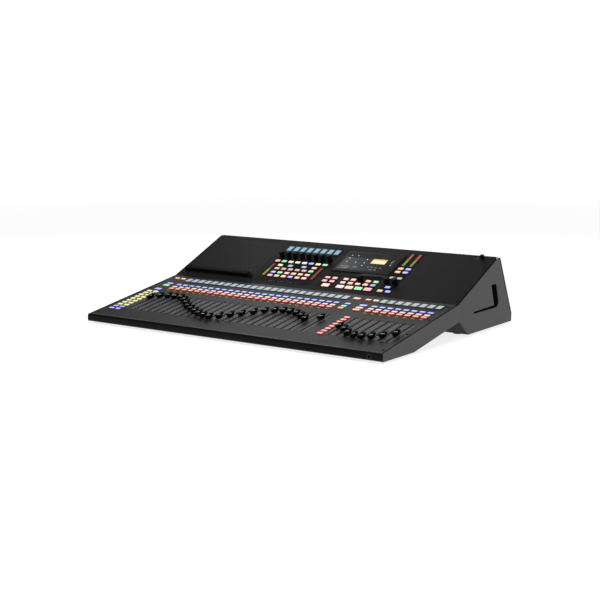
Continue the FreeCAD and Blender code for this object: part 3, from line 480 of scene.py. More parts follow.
class Bench:
    """Modelling steps on one piece at a time, in the piece's own metres about its centre."""

    @staticmethod
    def clear() -> None:
        """Leaves nothing selected."""
        bpy.ops.object.select_all(action="DESELECT")

    @staticmethod
    def take(piece: bpy.types.Object) -> None:
        """Makes one piece the only one selected."""
        Bench.clear()
        piece.select_set(True)
        bpy.context.view_layer.objects.active = piece

    @staticmethod
    def _fresh(name: str) -> bpy.types.Object:
        """Names the primitive that was just added and puts its place in its mesh."""
        piece = bpy.context.active_object
        piece.name = name
        piece.data.name = name
        Bench.take(piece)
        bpy.ops.object.transform_apply(location=True, rotation=True, scale=True)
        return piece

    @staticmethod
    def block(name: str, size: Sequence[float], centre: Sequence[float] = (0, 0, 0)) -> bpy.types.Object:
        """Adds a block, with its size and centre in millimetres."""
        Bench.clear()
        bpy.ops.mesh.primitive_cube_add(
            size=1.0, location=[part * MM for part in centre], scale=[part * MM for part in size])
        return Bench._fresh(name)

    @staticmethod
    def rod(name: str, radius: float, height: float, base: float = 0.0, sides: int = 24) -> bpy.types.Object:
        """Adds an upright rod that stands on its base, in millimetres."""
        Bench.clear()
        bpy.ops.mesh.primitive_cylinder_add(
            vertices=sides, radius=radius * MM, depth=height * MM, location=(0, 0, (base + height / 2) * MM))
        return Bench._fresh(name)

    @staticmethod
    def pick(piece: bpy.types.Object, test: FaceTest) -> None:
        """Enters edit mode with the faces selected whose centre and normal pass a test.

        Args:
            piece: The piece to shape.
            test: Takes a face's centre in millimetres and its normal.
        """
        Bench.take(piece)
        bpy.ops.object.mode_set(mode="EDIT")
        bpy.ops.mesh.select_mode(type="FACE")
        bpy.ops.mesh.select_all(action="DESELECT")
        bpy.ops.object.mode_set(mode="OBJECT")
        for face in piece.data.polygons:
            face.select = bool(test(face.center / MM, face.normal))
        bpy.ops.object.mode_set(mode="EDIT")

    @staticmethod
    def pick_points(piece: bpy.types.Object, test: Callable[[Vector], bool]) -> None:
        """Enters edit mode with the points selected whose place in millimetres passes a test."""
        Bench.take(piece)
        bpy.ops.object.mode_set(mode="EDIT")
        bpy.ops.mesh.select_mode(type="VERT")
        bpy.ops.mesh.select_all(action="DESELECT")
        bpy.ops.object.mode_set(mode="OBJECT")
        for vertex in piece.data.vertices:
            vertex.select = bool(test(vertex.co / MM))
        bpy.ops.object.mode_set(mode="EDIT")

    @staticmethod
    def done() -> None:
        """Leaves edit mode."""
        bpy.ops.object.mode_set(mode="OBJECT")

    @staticmethod
    def inset(piece: bpy.types.Object, test: FaceTest, width: float, depth: float,
              each: bool = False, slot: int | None = None) -> None:
        """Insets chosen faces and moves them along their normals, in millimetres."""
        Bench.pick(piece, test)
        bpy.ops.mesh.inset(thickness=width * MM, depth=depth * MM, use_individual=each)
        if slot is not None:
            piece.active_material_index = slot
            bpy.ops.object.material_slot_assign()
        Bench.done()

    @staticmethod
    def round_off(piece: bpy.types.Object, width: float, segments: int = 2,
                  angle: float = 40.0) -> bpy.types.Object:
        """Rounds every edge sharper than an angle, and smooths the shading."""
        Bench.take(piece)
        bevel = piece.modifiers.new("round", "BEVEL")
        bevel.width = width * MM
        bevel.segments = segments
        bevel.limit_method = "ANGLE"
        bevel.angle_limit = math.radians(angle)
        bpy.ops.object.modifier_apply(modifier=bevel.name)
        bpy.ops.object.shade_smooth_by_angle(angle=math.radians(35))
        return piece

    @staticmethod
    def round_corners(piece: bpy.types.Object, width: float, segments: int = 3) -> bpy.types.Object:
        """Rounds only the four upright corners of a block."""
        Bench.take(piece)
        bpy.ops.object.mode_set(mode="EDIT")
        bpy.ops.mesh.select_mode(type="EDGE")
        bpy.ops.mesh.select_all(action="DESELECT")
        bpy.ops.object.mode_set(mode="OBJECT")
        for edge in piece.data.edges:
            first, second = (piece.data.vertices[number].co for number in edge.vertices)
            edge.select = (first - second).normalized().z ** 2 > 0.99
        bpy.ops.object.mode_set(mode="EDIT")
        bpy.ops.mesh.bevel(offset=width * MM, segments=segments)
        Bench.done()
        return piece

    @staticmethod
    def join(name: str, pieces: Sequence[bpy.types.Object]) -> bpy.types.Object:
        """Joins pieces into one."""
        Bench.clear()
        for piece in pieces:
            piece.select_set(True)
        bpy.context.view_layer.objects.active = pieces[0]
        if len(pieces) > 1:
            bpy.ops.object.join()
        pieces[0].name = name
        pieces[0].data.name = name
        return pieces[0]

    @staticmethod
    def laid(name: str, master: bpy.types.Object, places: Iterable[Matrix],
             keep: bool = False) -> bpy.types.Object:
        """Lays a copy of a master piece at each place, and joins the copies.

        Args:
            name: The joined piece's name.
            master: The piece to copy.
            places: Where each copy goes.
            keep: Whether the master is needed again.

        Returns:
            The joined piece, whose place is in its mesh.
        """
        copies = []
        for place in places:
            copy = bpy.data.objects.new(name, master.data.copy())
            bpy.context.scene.collection.objects.link(copy)
            copy.data.transform(place)
            copies.append(copy)
        joined = Bench.join(name, copies)
        if not keep:
            bpy.data.objects.remove(master)
        return joined

    @staticmethod
    def dress(piece: bpy.types.Object, *materials: bpy.types.Material) -> bpy.types.Object:
        """Gives a piece its materials, one for each slot."""
        piece.data.materials.clear()
        for material in materials:
            piece.data.materials.append(material)
        return piece


def settle(piece: bpy.types.Object, body: str, slot: str, *replaced: str) -> bpy.types.Object:
    """Makes a finished piece ride on its body, hides the CAD nodes it stands for and reports it.

    Args:
        piece: The finished piece.
        body: The body it rides on.
        slot: The record's material slot; not used.
        replaced: CAD nodes it stands for.

    Returns:
        The piece.
    """
    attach(piece, body)
    if replaced:
        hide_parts(*replaced)
    log.info("%s: %d faces on %s", piece.name, len(piece.data.polygons), body)
    return piece


def fix(piece: bpy.types.Object, finish: bpy.types.Material, slot: str) -> bpy.types.Object:
    """Gives a finished piece one finish and fixes it to the case."""
    return settle(Bench.dress(piece, finish), "console", slot)


def repaint(node: str, material: bpy.types.Material) -> None:
    """Gives a CAD node a better material."""
    slots = frame["nodes"][node].material_slots
    for slot in slots:
        slot.material = material
    log.info("%s: painted %s", node, material.name)


# ---------------------------------------------------------------- the case


def line_mask(paint: Paint, start: Spot, end: Spot, reach: float) -> Value:
    """One behind a line of the side profile, less a reach towards the front.

    Args:
        paint: The paint that gets the nodes.
        start: The line's lower end, as y and z in millimetres.
        end: The line's upper end.
        reach: How far before the line the mask begins.

    Returns:
        The mask.
    """
    _, y, z = paint.axes()
    along = Vector((end[0] - start[0], end[1] - start[1])).normalized()
    offset = (y - start[0]) * along.y - (z - start[1]) * along.x
    return offset.ramp(-reach - 0.4, -reach + 0.4)


@dataclass
class Case:
    """The sheet-metal case: its paint, its print and its fixings."""

    finishes: Finishes
    panel_colour: Colour = (0.013, 0.013, 0.0135)
    inset_colour: Colour = (0.003, 0.003, 0.0035)
    cheek_colour: Colour = (0.055, 0.0545, 0.0545)
    # Width of the band of painted shade down the rear edge of each cheek.
    rear_shade_band: float = 6.0
    rib_pitch: float = 5.2
    rib_field: tuple[float, float, float, float] = (-402.0, -186.0, 48.0, 190.0)
    upper_insets: tuple[tuple[float, float, float, float], ...] = (
        (-168.0, -2.0, 27.0, 188.0),
        (-168.0, -4.0, 14.5, 24.5),
        (17.5, 59.0, 12.5, 73.0),
        (69.0, 173.0, 12.5, 73.0),
        (183.0, 224.5, 12.5, 195.0),
    )
    lower_insets: tuple[tuple[float, float, float, float], ...] = (
        (-350.0, 141.5, 202.0, 310.0),
        (222.0, 391.0, 202.0, 310.0),
    )
    jack_ring: float = 6.2

    def build(self) -> None:
        """Paints every plate of the case."""
        self.paint_cheeks()
        repaint("lower_panel", self.panel_paint("lower_paint", LOWER, self.lower_insets, False))
        repaint("upper_panel", self.panel_paint("upper_paint", UPPER, self.upper_insets, True))
        coat = PowderCoat("tray_black", (0.014, 0.014, 0.015), 0.7).make()
        repaint("chassis_tray", coat)
        repaint("rear_panel", PowderCoat("rear_black", (0.022, 0.022, 0.024), 0.6).make())
        repaint("rubber_feet", self.finishes.rubber)
        repaint("electronics", self.board_paint())
        self.paint_armrest()

    def paint_cheeks(self) -> None:
        """Grey paint, with the inner faces painted black as shade in the gap beside the panels, and a near-black
        band down the rear edge painted as the shade of a folded flange.
        """
        _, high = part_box("right_cheek")
        corner = REAR.origin / MM
        top = (REAR.origin + REAR.up * 0.157) / MM
        for node in ("left_cheek", "right_cheek"):
            coat = PowderCoat(node + "_paint", self.cheek_colour, 0.55)
            paint, grain = coat.start()
            # Painted shade: a near-black band down the rear edge stands for the shaded fold of a rear flange that
            # the plate doesn't have.
            edge = line_mask(paint, (corner.y + 4.4, corner.z), (top.y + 4.4, top.z), self.rear_shade_band)
            x, _, _ = paint.axes()
            # Painted shade: the faces inside the case are painted black, as the shade in the gap between cheek and
            # panel.
            inner_face_shade = x.size() < high.x / MM - 1.4
            shades = paint.blend(edge.most(inner_face_shade), coat.shades(paint, grain), (0.006, 0.006, 0.0065))
            paint.feed("Base Color", shades)
            repaint(node, paint.material)

    def panel_paint(self, name: str, plane: Plane, insets: Sequence[Sequence[float]],
                    ribs: bool) -> bpy.types.Material:
        """Dark fine paint with black inset fields, and for the upper panel the ribbed rest, its crests painted
        lighter as a highlight, and the ledge.

        Args:
            name: The paint's name.
            plane: The panel's surface.
            insets: The left, right, low and high edge of each inset field.
            ribs: Whether the panel has the ribbed rest.

        Returns:
            The panel's material.
        """
        coat = PowderCoat(name, self.panel_colour, 0.56, gloss=0.05 if ribs else 0.24)
        paint = Paint(name, coat.roughness, specular_ior_level=coat.gloss)
        x, v, h = paint.on(plane)
        grain = paint.grain(coat.grain)
        cloud = paint.grain(9.0, 4.0)
        dark = None
        for left, right, low, high in insets:
            mask = rectangle_mask(x, v, left, right, low, high)
            dark = mask if dark is None else dark.most(mask)
        height = grain * 0.3
        shades = coat.shades(paint, grain)
        if ribs:
            left, right, low, high = self.rib_field
            field_mask = rectangle_mask(x, v, left, right, low, high)
            stripe = ((x * 0.71 + v * 0.71) * (2 * math.pi / self.rib_pitch)).sine()
            ridge = stripe * field_mask * (x + v * 0.4).ramp(-360.0, -170.0)
            height = height + ridge * 0.8
            # Painted highlight: the rib crests are painted lighter, as light catching them, fading in with the
            # ribs towards the right.
            shades = paint.blend(ridge.ramp(0.2, 1.0), shades, (0.030, 0.030, 0.032))
            dark = dark.most(h > 0.4)
        shades = paint.blend(dark, shades, self.inset_colour)
        paint.feed("Base Color", shades)
        paint.feed("Roughness", cloud * 0.12 + (coat.roughness - 0.06))
        paint.relief(height, 0.3, 0.7)
        return paint.material

    def board_paint(self) -> bpy.types.Material:
        """Green solder mask with paler traces."""
        paint = Paint("board_green", 0.5)
        traces = paint.grain(180.0, 5.0)
        shades = paint.blend(traces.ramp(0.45, 0.55), (0.01, 0.05, 0.025), (0.02, 0.09, 0.04))
        paint.feed("Base Color", shades)
        return paint.material

    def paint_armrest(self) -> None:
        """Satin black, with a plated ring round the headphone socket."""
        mount = next(entry for entry in frame["record"]["mounts"] if entry["name"] == "headphone_jack")
        middle = Vector(mount["pos_m"]) / MM
        paint = Paint("armrest_black", 0.3, specular_ior_level=0.06)
        x, y, z = paint.axes()
        across, up = x - middle.x, z - middle.z
        ring = (across * across + up * up) < self.jack_ring ** 2
        smear = paint.grain(14.0, 3.0)
        grain = paint.grain(1200.0, 2.0)
        satin = paint.blend(smear, (0.003, 0.003, 0.003), (0.006, 0.006, 0.006))
        paint.feed("Base Color", paint.blend(ring, satin, (0.03, 0.03, 0.032)))
        paint.feed("Metallic", ring)
        paint.feed("Roughness", smear * 0.14 + 0.24)
        paint.relief(grain, 0.02, 0.5)
        repaint("front_armrest", paint.material)


@dataclass
class Fixings:
    """Cap screws down both edges of the upper panel and the lower panel."""

    finishes: Finishes
    across: float = 396.5
    upper_rows: tuple[float, ...] = (16.0, 54.0, 156.0, 197.0)
    lower_rows: tuple[float, ...] = (22.0, 118.0, 212.0, 300.0)
    radius: float = 2.9
    height: float = 1.1

    def build(self) -> None:
        """Models one screw and lays the rest."""
        master = self.screw()
        places = [UPPER.at(side * self.across, row) for side in (-1, 1) for row in self.upper_rows]
        places += [LOWER.at(side * self.across, row) for side in (-1, 1) for row in self.lower_rows]
        screws = Bench.laid("panel_screws", master, places)
        fix(screws, self.finishes.black, "tray_paint")

    def screw(self) -> bpy.types.Object:
        """A low domed head with a six-sided socket."""
        head = Bench.rod("screw", self.radius, self.height, 0.0, 18)
        Bench.round_off(head, 0.45, 2)
        socket = Bench.rod("socket", self.radius * 0.5, 2.0, self.height - 0.6, 6)
        Bench.take(head)
        cut = head.modifiers.new("socket", "BOOLEAN")
        cut.object = socket
        cut.operation = "DIFFERENCE"
        bpy.ops.object.modifier_apply(modifier=cut.name)
        bpy.data.objects.remove(socket)
        return head


# ---------------------------------------------------------------- keys


@dataclass(frozen=True)
class Key:
    """One key: where it stands on its panel, its shape and its colour."""

    across: float
    up: float
    shape: str
    tone: Tone


@dataclass
class KeyField:
    """All the keys that share a body, grouped by shape and colour."""

    finishes: Finishes
    node: str
    plane: Plane
    keys: Sequence[Key]
    rise: float
    shapes: dict[str, Spot] = field(default_factory=lambda: {
        "plain": (13.3, 8.3), "wide": (17.8, 8.3), "deep": (17.8, 10.8), "mode": (20.0, 11.8)})
    sink: float = 1.4

    def build(self) -> None:
        """Models each cap shape once, and lays a joined piece for each colour."""
        body = self.node + "_body"
        masters = {shape: self.cap(shape) for shape in {key.shape for key in self.keys}}
        pieces = []
        for tone in sorted({key.tone for key in self.keys}, key=lambda entry: entry.name):
            parts = []
            for shape, master in masters.items():
                alike = [key for key in self.keys if key.tone is tone and key.shape == shape]
                spots = [self.plane.at(key.across, key.up) for key in alike]
                if spots:
                    parts.append(Bench.laid("part", master, spots, keep=True))
            piece = Bench.join(f"{self.node}_{tone.name.lower()}", parts)
            Bench.dress(piece, self.finishes.key(tone, self.plane))
            pieces.append(piece)
        for master in masters.values():
            bpy.data.objects.remove(master)
        for piece in pieces:
            settle(piece, body, "key_white", self.node)

    def cap(self, shape: str) -> bpy.types.Object:
        """A key cap with small round corners and a softly crowned top."""
        width, length = self.shapes[shape]
        cap = Bench.block(shape, (width, length, self.rise + self.sink), (0, 0, (self.rise - self.sink) / 2))
        Bench.round_corners(cap, 1.1, 3)
        Bench.inset(cap, top_face, 0.5, 0.0)
        Bench.pick(cap, lambda centre, normal: normal.z > 0.9 and abs(centre.x) < 0.1 and abs(centre.y) < 0.1)
        bpy.ops.transform.translate(value=(0, 0, 0.2 * MM))
        Bench.done()
        Bench.take(cap)
        bpy.ops.object.shade_smooth_by_angle(angle=math.radians(38))
        return cap


LAYER_START = 52.4
GROUP_START = 63.2
KEY_PITCH = 15.2


def channel_keys() -> list[Key]:
    """Select, solo and mute keys of every strip."""
    rows = ((252.0, Tone.BLUE), (235.5, Tone.PEACH), (222.0, Tone.RED))
    keys = [Key(column(number), up, "plain", tone) for number in STRIPS for up, tone in rows]
    main = ((252.0, Tone.BLUE), (235.5, Tone.GREEN), (222.0, Tone.RED))
    return keys + [Key(column(MAIN_COLUMN), up, "plain", tone) for up, tone in main]


def bank_keys() -> list[Key]:
    """Layer keys, group keys and the stack beside the main fader."""
    keys = []
    for number in (-2.1, -1.12):
        for row in range(10):
            tone = Tone.LILAC if row < 2 else Tone.YELLOW
            keys.append(Key(column(number), LAYER_START + KEY_PITCH * row, "plain", tone))
        keys.append(Key(column(number), 296.5, "plain", Tone.ORANGE))
    pair = ((209.5, "deep", Tone.LILAC), (240.5, "deep", Tone.GREEN), (255.0, "wide", Tone.BLUE))
    keys += [Key(column(-1.567), up, shape, tone) for up, shape, tone in pair]
    stack = ((252.0, Tone.LILAC), (235.5, Tone.PEACH), (222.0, Tone.ORANGE))
    keys += [Key(column(26.54), up, "wide", tone) for up, tone in stack]
    keys += [Key(column(26), 292.0, "plain", Tone.ORANGE), Key(column(27), 292.0, "plain", Tone.CREAM)]
    keys.append(Key(column(MAIN_COLUMN), 292.0, "deep", Tone.PINK))
    return keys + [Key(column(27), GROUP_START + KEY_PITCH * row, "plain", Tone.RED) for row in range(8)]


STRIP_START = centre_of("channel_encoder_1").x / MM


def section_keys() -> list[Key]:
    """Keys of the upper panel's groups."""
    tone = Tone
    strip = (
        (109.0, {tone.PINK: (0,), tone.GREEN: (1, 7), tone.YELLOW: (2, 3, 6),
                 tone.WHITE: (4,), tone.LILAC: (5,)}),
        (90.5, {tone.CREAM: (1,), tone.BLUE: (2.5, 4.5), tone.PEACH: (6,)}),
        (74.5, {tone.AMBER: (1, 2, 3, 4, 5), tone.GREEN: (6,)}),
        (57.3, {tone.BLUE: (1,), tone.GREEN: (2,), tone.PEACH: (3, 4, 5, 6)}),
        (42.0, {tone.PINK: (1,), tone.PEACH: (2, 3, 5, 6), tone.BLUE: (4,)}),
    )
    keys = []
    for up, row in strip:
        for shade, numbers in row.items():
            keys += [Key(STRIP_START + number * COLUMN_PITCH, up, "plain", shade) for number in numbers]
    others = {
        tone.PINK: ((27, 56.8), (48, 56.8), (27, 41.8), (48, 41.8)),
        tone.PEACH: ((79.5, 56.8), (100.5, 56.8), (79.5, 41.5), (100.5, 41.5), (121.5, 41.5), (142, 41.5)),
        tone.ORANGE: ((142, 56.8), (194, 122.8), (194, 107.8), (193, 22.7)),
        tone.GREEN: ((163, 56.8),),
        tone.NAVY: ((163, 41.5),),
        tone.BLUE: ((214.5, 122.8), (204, 40.5), (214.5, 22.7)),
        tone.LILAC: ((214.5, 107.8),),
        tone.GREY: ((194, 81), (213.5, 81)),
    }
    keys += [Key(*spot, "plain", shade) for shade, spots in others.items() for spot in spots]
    modes = ((82, tone.ROSE), (107.7, tone.APRICOT), (133.4, tone.GREEN), (159, tone.PINK))
    keys += [Key(across, 23.5, "mode", shade) for across, shade in modes]
    return keys + [Key(40.7, 24.0, "mode", tone.CREAM)]


# ---------------------------------------------------------------- faders and knobs


@dataclass
class FaderCaps:
    """The motor faders' caps, each on its stem."""

    finishes: Finishes
    width: float = 10.8
    length: float = 23.8
    gap: float = 1.5
    top: float = 9.95
    dish: float = 1.4
    foot: float = 15.0
    waist: Spot = (13.0, 4.75)
    lip: float = 8.0
    cuts: int = 9
    stem: tuple[float, float, float] = (1.6, 6.0, 9.0)

    def build(self) -> None:
        """Models one cap and lays it on each fader's body."""
        master = self.cap()
        for node in sorted(frame["nodes"]):
            if node == "main_fader" or node.startswith("fader_"):
                piece = Bench.laid(node + "_cap", master, [self.place(node)], keep=True)
                settle(piece, node + "_body", "fader_cap", node)
        bpy.data.objects.remove(master)

    def place(self, node: str) -> Matrix:
        """Where a fader's cap stands: its own centre line on the lower panel."""
        corners = [v.co - LOWER.origin for v in frame["nodes"][node].data.vertices]
        along = [co.dot(LOWER.up) / MM for co in corners]
        return LOWER.at(centre_of(node).x / MM, (min(along) + max(along)) / 2)

    def cap(self) -> bpy.types.Object:
        """A cap with a waist and a dished top that flares to its ends, with a pale line across it."""
        height = self.top - self.gap
        cap = Bench.block("cap", (self.width, self.length, height), (0, 0, self.gap + height / 2))
        for level in (self.waist[1], self.lip):
            Bench.pick(cap, any_face)
            bpy.ops.mesh.bisect(plane_co=(0, 0, level * MM), plane_no=(0, 0, 1))
            Bench.done()
        for level, length in ((self.gap, self.foot), (self.waist[1], self.waist[0])):
            Bench.pick_points(cap, lambda spot: abs(spot.z - level) < 0.05)
            bpy.ops.transform.resize(value=(1, length / self.length, 1))
            Bench.done()
        half = self.length / 2
        rows = [half * (2 * number / (self.cuts + 1) - 1) for number in range(1, self.cuts + 1)]
        for row in rows:
            Bench.pick(cap, top_face)
            bpy.ops.mesh.bisect(plane_co=(0, row * MM, 0), plane_no=(0, 1, 0))
            Bench.done()
        for row in rows:
            Bench.pick_points(cap, lambda spot: abs(spot.y - row) < 0.05 and abs(spot.z - self.top) < 0.05)
            bpy.ops.transform.translate(value=(0, 0, -self.dish * (1 - (row / half) ** 2) * MM))
            Bench.done()
        Bench.round_off(cap, 0.3, 2, 50)
        line = Bench.block("line", (self.width - 1.6, 0.9, 0.5), (0, 0, self.top - self.dish - 0.1))
        stem = Bench.block("stem", self.stem, (0, 0, self.gap + 0.5 - self.stem[2] / 2))
        Bench.dress(cap, self.finishes.cap)
        Bench.dress(line, self.finishes.white)
        Bench.dress(stem, self.finishes.zinc)
        return Bench.join("cap", [cap, line, stem])


@dataclass(frozen=True)
class KnobShape:
    """The size of one kind of rotary control, in millimetres."""

    nodes: tuple[str, ...]
    radius: float
    height: float
    ribs: int
    pointer: bool = False


@dataclass
class Knobs:
    """The rotary controls of the upper panel."""

    finishes: Finishes
    gap: float = 0.8
    shapes: tuple[KnobShape, ...] = (
        KnobShape(tuple(f"channel_encoder_{number}" for number in range(1, 9)), 6.2, 15.0, 16),
        KnobShape(("screen_encoder", "master_encoder", "monitor_encoder"), 6.8, 13.9, 20),
        KnobShape(("headphone_knob",), 4.9, 10.4, 14, True),
    )

    def build(self) -> None:
        """Models each kind once and lays it on every body that has it."""
        for shape in self.shapes:
            master = self.knob(shape)
            for node in shape.nodes:
                piece = Bench.laid(node + "_knob", master, [self.place(node)], keep=True)
                settle(piece, node + "_body", "knob_grey", node)
            bpy.data.objects.remove(master)

    @staticmethod
    def place(node: str) -> Matrix:
        """Where a knob stands: the foot of its axis on the upper panel."""
        hinge = Vector(joint(node + "_turn")["pos_m"]) - UPPER.origin
        return UPPER.at(hinge.x / MM, hinge.dot(UPPER.up) / MM)

    def knob(self, shape: KnobShape) -> bpy.types.Object:
        """A ribbed knob with a flat top, on its shaft."""
        sides = shape.ribs * 2
        body = Bench.rod("knob", shape.radius, shape.height - self.gap, self.gap, sides)
        Bench.inset(body, top_face, shape.radius * 0.1, 0.0)
        step = 2 * math.pi / sides
        grooves = lambda centre, normal: (
            abs(normal.z) < 0.3 and round(math.atan2(centre.y, centre.x) / step - 0.5) % 2 == 0)
        Bench.inset(body, grooves, shape.radius * 0.035, -shape.radius * 0.05, each=True)
        Bench.round_off(body, 0.35, 2, 60)
        shaft = Bench.rod("shaft", 3.0, 9.0, -8.0, 20)
        Bench.dress(body, self.finishes.knob)
        Bench.dress(shaft, self.finishes.zinc)
        parts = [body, shaft]
        if shape.pointer:
            reach = shape.radius * 0.5
            mark = Bench.block("mark", (0.9, shape.radius * 0.7, 0.3), (0, reach, shape.height + 0.02))
            parts.append(Bench.dress(mark, self.finishes.white))
        return Bench.join("knob", parts)


# ---------------------------------------------------------------- screens, meters and lamps


@dataclass
class ChannelDisplays:
    """The small lit displays over the strips, and the eight of the channel section."""

    finishes: Finishes
    lower_row: float = 292.0
    upper_row: float = 169.0
    pale: tuple[Colour, Colour] = ((0.40, 0.47, 0.62), (0.46, 0.55, 0.60))
    cyan: tuple[Colour, Colour] = ((0.15, 0.40, 0.60), (0.21, 0.48, 0.68))
    lower_size: Spot = (13.9, 22.0)
    upper_size: Spot = (13.4, 20.5)

    def build(self) -> None:
        """Models one display of each size and lays them."""
        section = [STRIP_START + number * COLUMN_PITCH for number in range(8)]
        pale, cyan = self.lamp("display_pale", False), self.lamp("display_cyan", True)
        self.strip("channel_displays", LOWER, self.lower_row, self.lower_size, pale, map(column, STRIPS))
        self.strip("section_displays", UPPER, self.upper_row, self.upper_size, cyan, section)
        width, length = len(section) * COLUMN_PITCH + 1.0, 27.0
        backing = Bench.block("section_backing", (width, length, 0.5), (0, 0, 0.3))
        Bench.round_off(backing, 0.2, 1)
        middle = (section[0] + section[-1]) / 2
        backing = Bench.laid("section_backing", backing, [UPPER.at(middle, self.upper_row)])
        fix(backing, self.finishes.black, "screen_glass")
        repaint("display_glass", self.glass())

    def glass(self) -> bpy.types.Material:
        """Glossy black glass with faint smears."""
        paint = Paint("black_glass", 0.2, specular_ior_level=0.05)
        smear = paint.grain(22.0, 4.0)
        paint.feed("Base Color", paint.blend(smear, (0.004, 0.004, 0.005), (0.010, 0.010, 0.011)))
        paint.feed("Roughness", smear * 0.18 + 0.08)
        return paint.material

    def lamp(self, name: str, cyan: bool) -> bpy.types.Material:
        """A backlit screen whose colour drifts a little from one end of the row to the other."""
        paint = Paint(name, 0.35, emission_strength=0.9 if cyan else 0.8, specular_ior_level=0.1)
        x, _, _ = paint.axes()
        drift = x.ramp(-350.0, 150.0)
        speck = paint.grain(420.0, 2.0)
        near, far = self.cyan if cyan else self.pale
        shades = paint.blend(speck * 0.12, paint.blend(drift, near, far), (0.75, 0.80, 0.85))
        paint.feed("Base Color", paint.blend(speck, (0.05, 0.06, 0.07), (0.07, 0.08, 0.09)))
        paint.feed("Emission Color", shades)
        return paint.material

    def strip(self, name: str, plane: Plane, row: float, size: Spot, lit: bpy.types.Material,
              columns: Iterable[float]) -> None:
        """Lays one row of displays.

        Args:
            name: The row's name.
            plane: The panel it stands on.
            row: Millimetres up the panel.
            size: Each display's width and length.
            lit: The lit material.
            columns: Millimetres across of each display.
        """
        face = Bench.block("face", (*size, 0.7), (0, 0, 1.0))
        Bench.round_corners(face, 0.9, 2)
        Bench.dress(face, self.finishes.black, lit)
        Bench.inset(face, top_face, 0.5, -0.1, slot=1)
        piece = Bench.laid(name, face, [plane.at(across, row) for across in columns])
        settle(piece, "console", "screen_glass")


@dataclass(frozen=True)
class MeterBar:
    """One column of level lamps, with the colours of its lower and upper lamps."""

    across: float
    low: float
    high: float
    first: Colour
    last: Colour


@dataclass
class LevelMeters:
    """Columns of level lamps, and the lamp under each strip's keys."""

    finishes: Finishes
    width: float = 6.8
    pitch: float = 3.4
    meters: tuple[MeterBar, ...] = (
        MeterBar(-157.0, 41.0, 97.0, (0.20, 0.25, 0.025), (0.16, 0.025, 0.02)),
        MeterBar(-12.9, 41.0, 97.0, (0.20, 0.025, 0.02), (0.20, 0.025, 0.02)),
        MeterBar(192.0, 136.0, 191.0, (0.15, 0.20, 0.03), (0.34, 0.06, 0.03)),
        MeterBar(213.0, 136.0, 191.0, (0.15, 0.20, 0.03), (0.34, 0.06, 0.03)))
    turn: Spot = (0.45, 0.6)
    strip_lamp_row: float = 209.5

    def build(self) -> None:
        """Lays every lamp."""
        for number, meter in enumerate(self.meters, start=1):
            segment = Bench.block("segment", (self.width, self.pitch - 1.1, 0.6), (0, 0, 0.3))
            Bench.round_off(segment, 0.25, 2)
            count = int((meter.high - meter.low) / self.pitch)
            places = [UPPER.at(meter.across, meter.low + (row + 0.5) * self.pitch) for row in range(count)]
            piece = Bench.laid(f"level_meter_{number}", segment, places)
            fix(piece, self.lamp(number, meter), "key_white")
        dash = Bench.block("dash", (8.0, 3.4, 0.5), (0, 0, 0.25))
        Bench.round_off(dash, 0.3, 2)
        places = [LOWER.at(column(number), self.strip_lamp_row) for number in STRIPS]
        piece = Bench.laid("strip_lamps", dash, places)
        fix(piece, self.dash_finish(), "key_white")

    def lamp(self, number: int, meter: MeterBar) -> bpy.types.Material:
        """Lamps that change colour past the middle of the column."""
        paint = Paint(f"meter_lamps_{number}", 0.4, emission_strength=0.75, specular_ior_level=0.1)
        _, v, _ = paint.on(UPPER)
        speck = paint.grain(500.0, 2.0)
        turn = v.ramp(*(meter.low + (meter.high - meter.low) * share for share in self.turn))
        shades = paint.blend(turn, meter.first, meter.last)
        shades = paint.blend(speck * 0.15, shades, (0.45, 0.30, 0.18))
        paint.light(shades)
        return paint.material

    def dash_finish(self) -> bpy.types.Material:
        """A dim yellow-green lamp."""
        paint = Paint("strip_lamp", 0.4, emission_strength=0.6, specular_ior_level=0.1)
        speck = paint.grain(300.0, 2.0)
        shades = paint.blend(speck, (0.17, 0.17, 0.012), (0.24, 0.24, 0.02))
        paint.light(shades)
        return paint.material


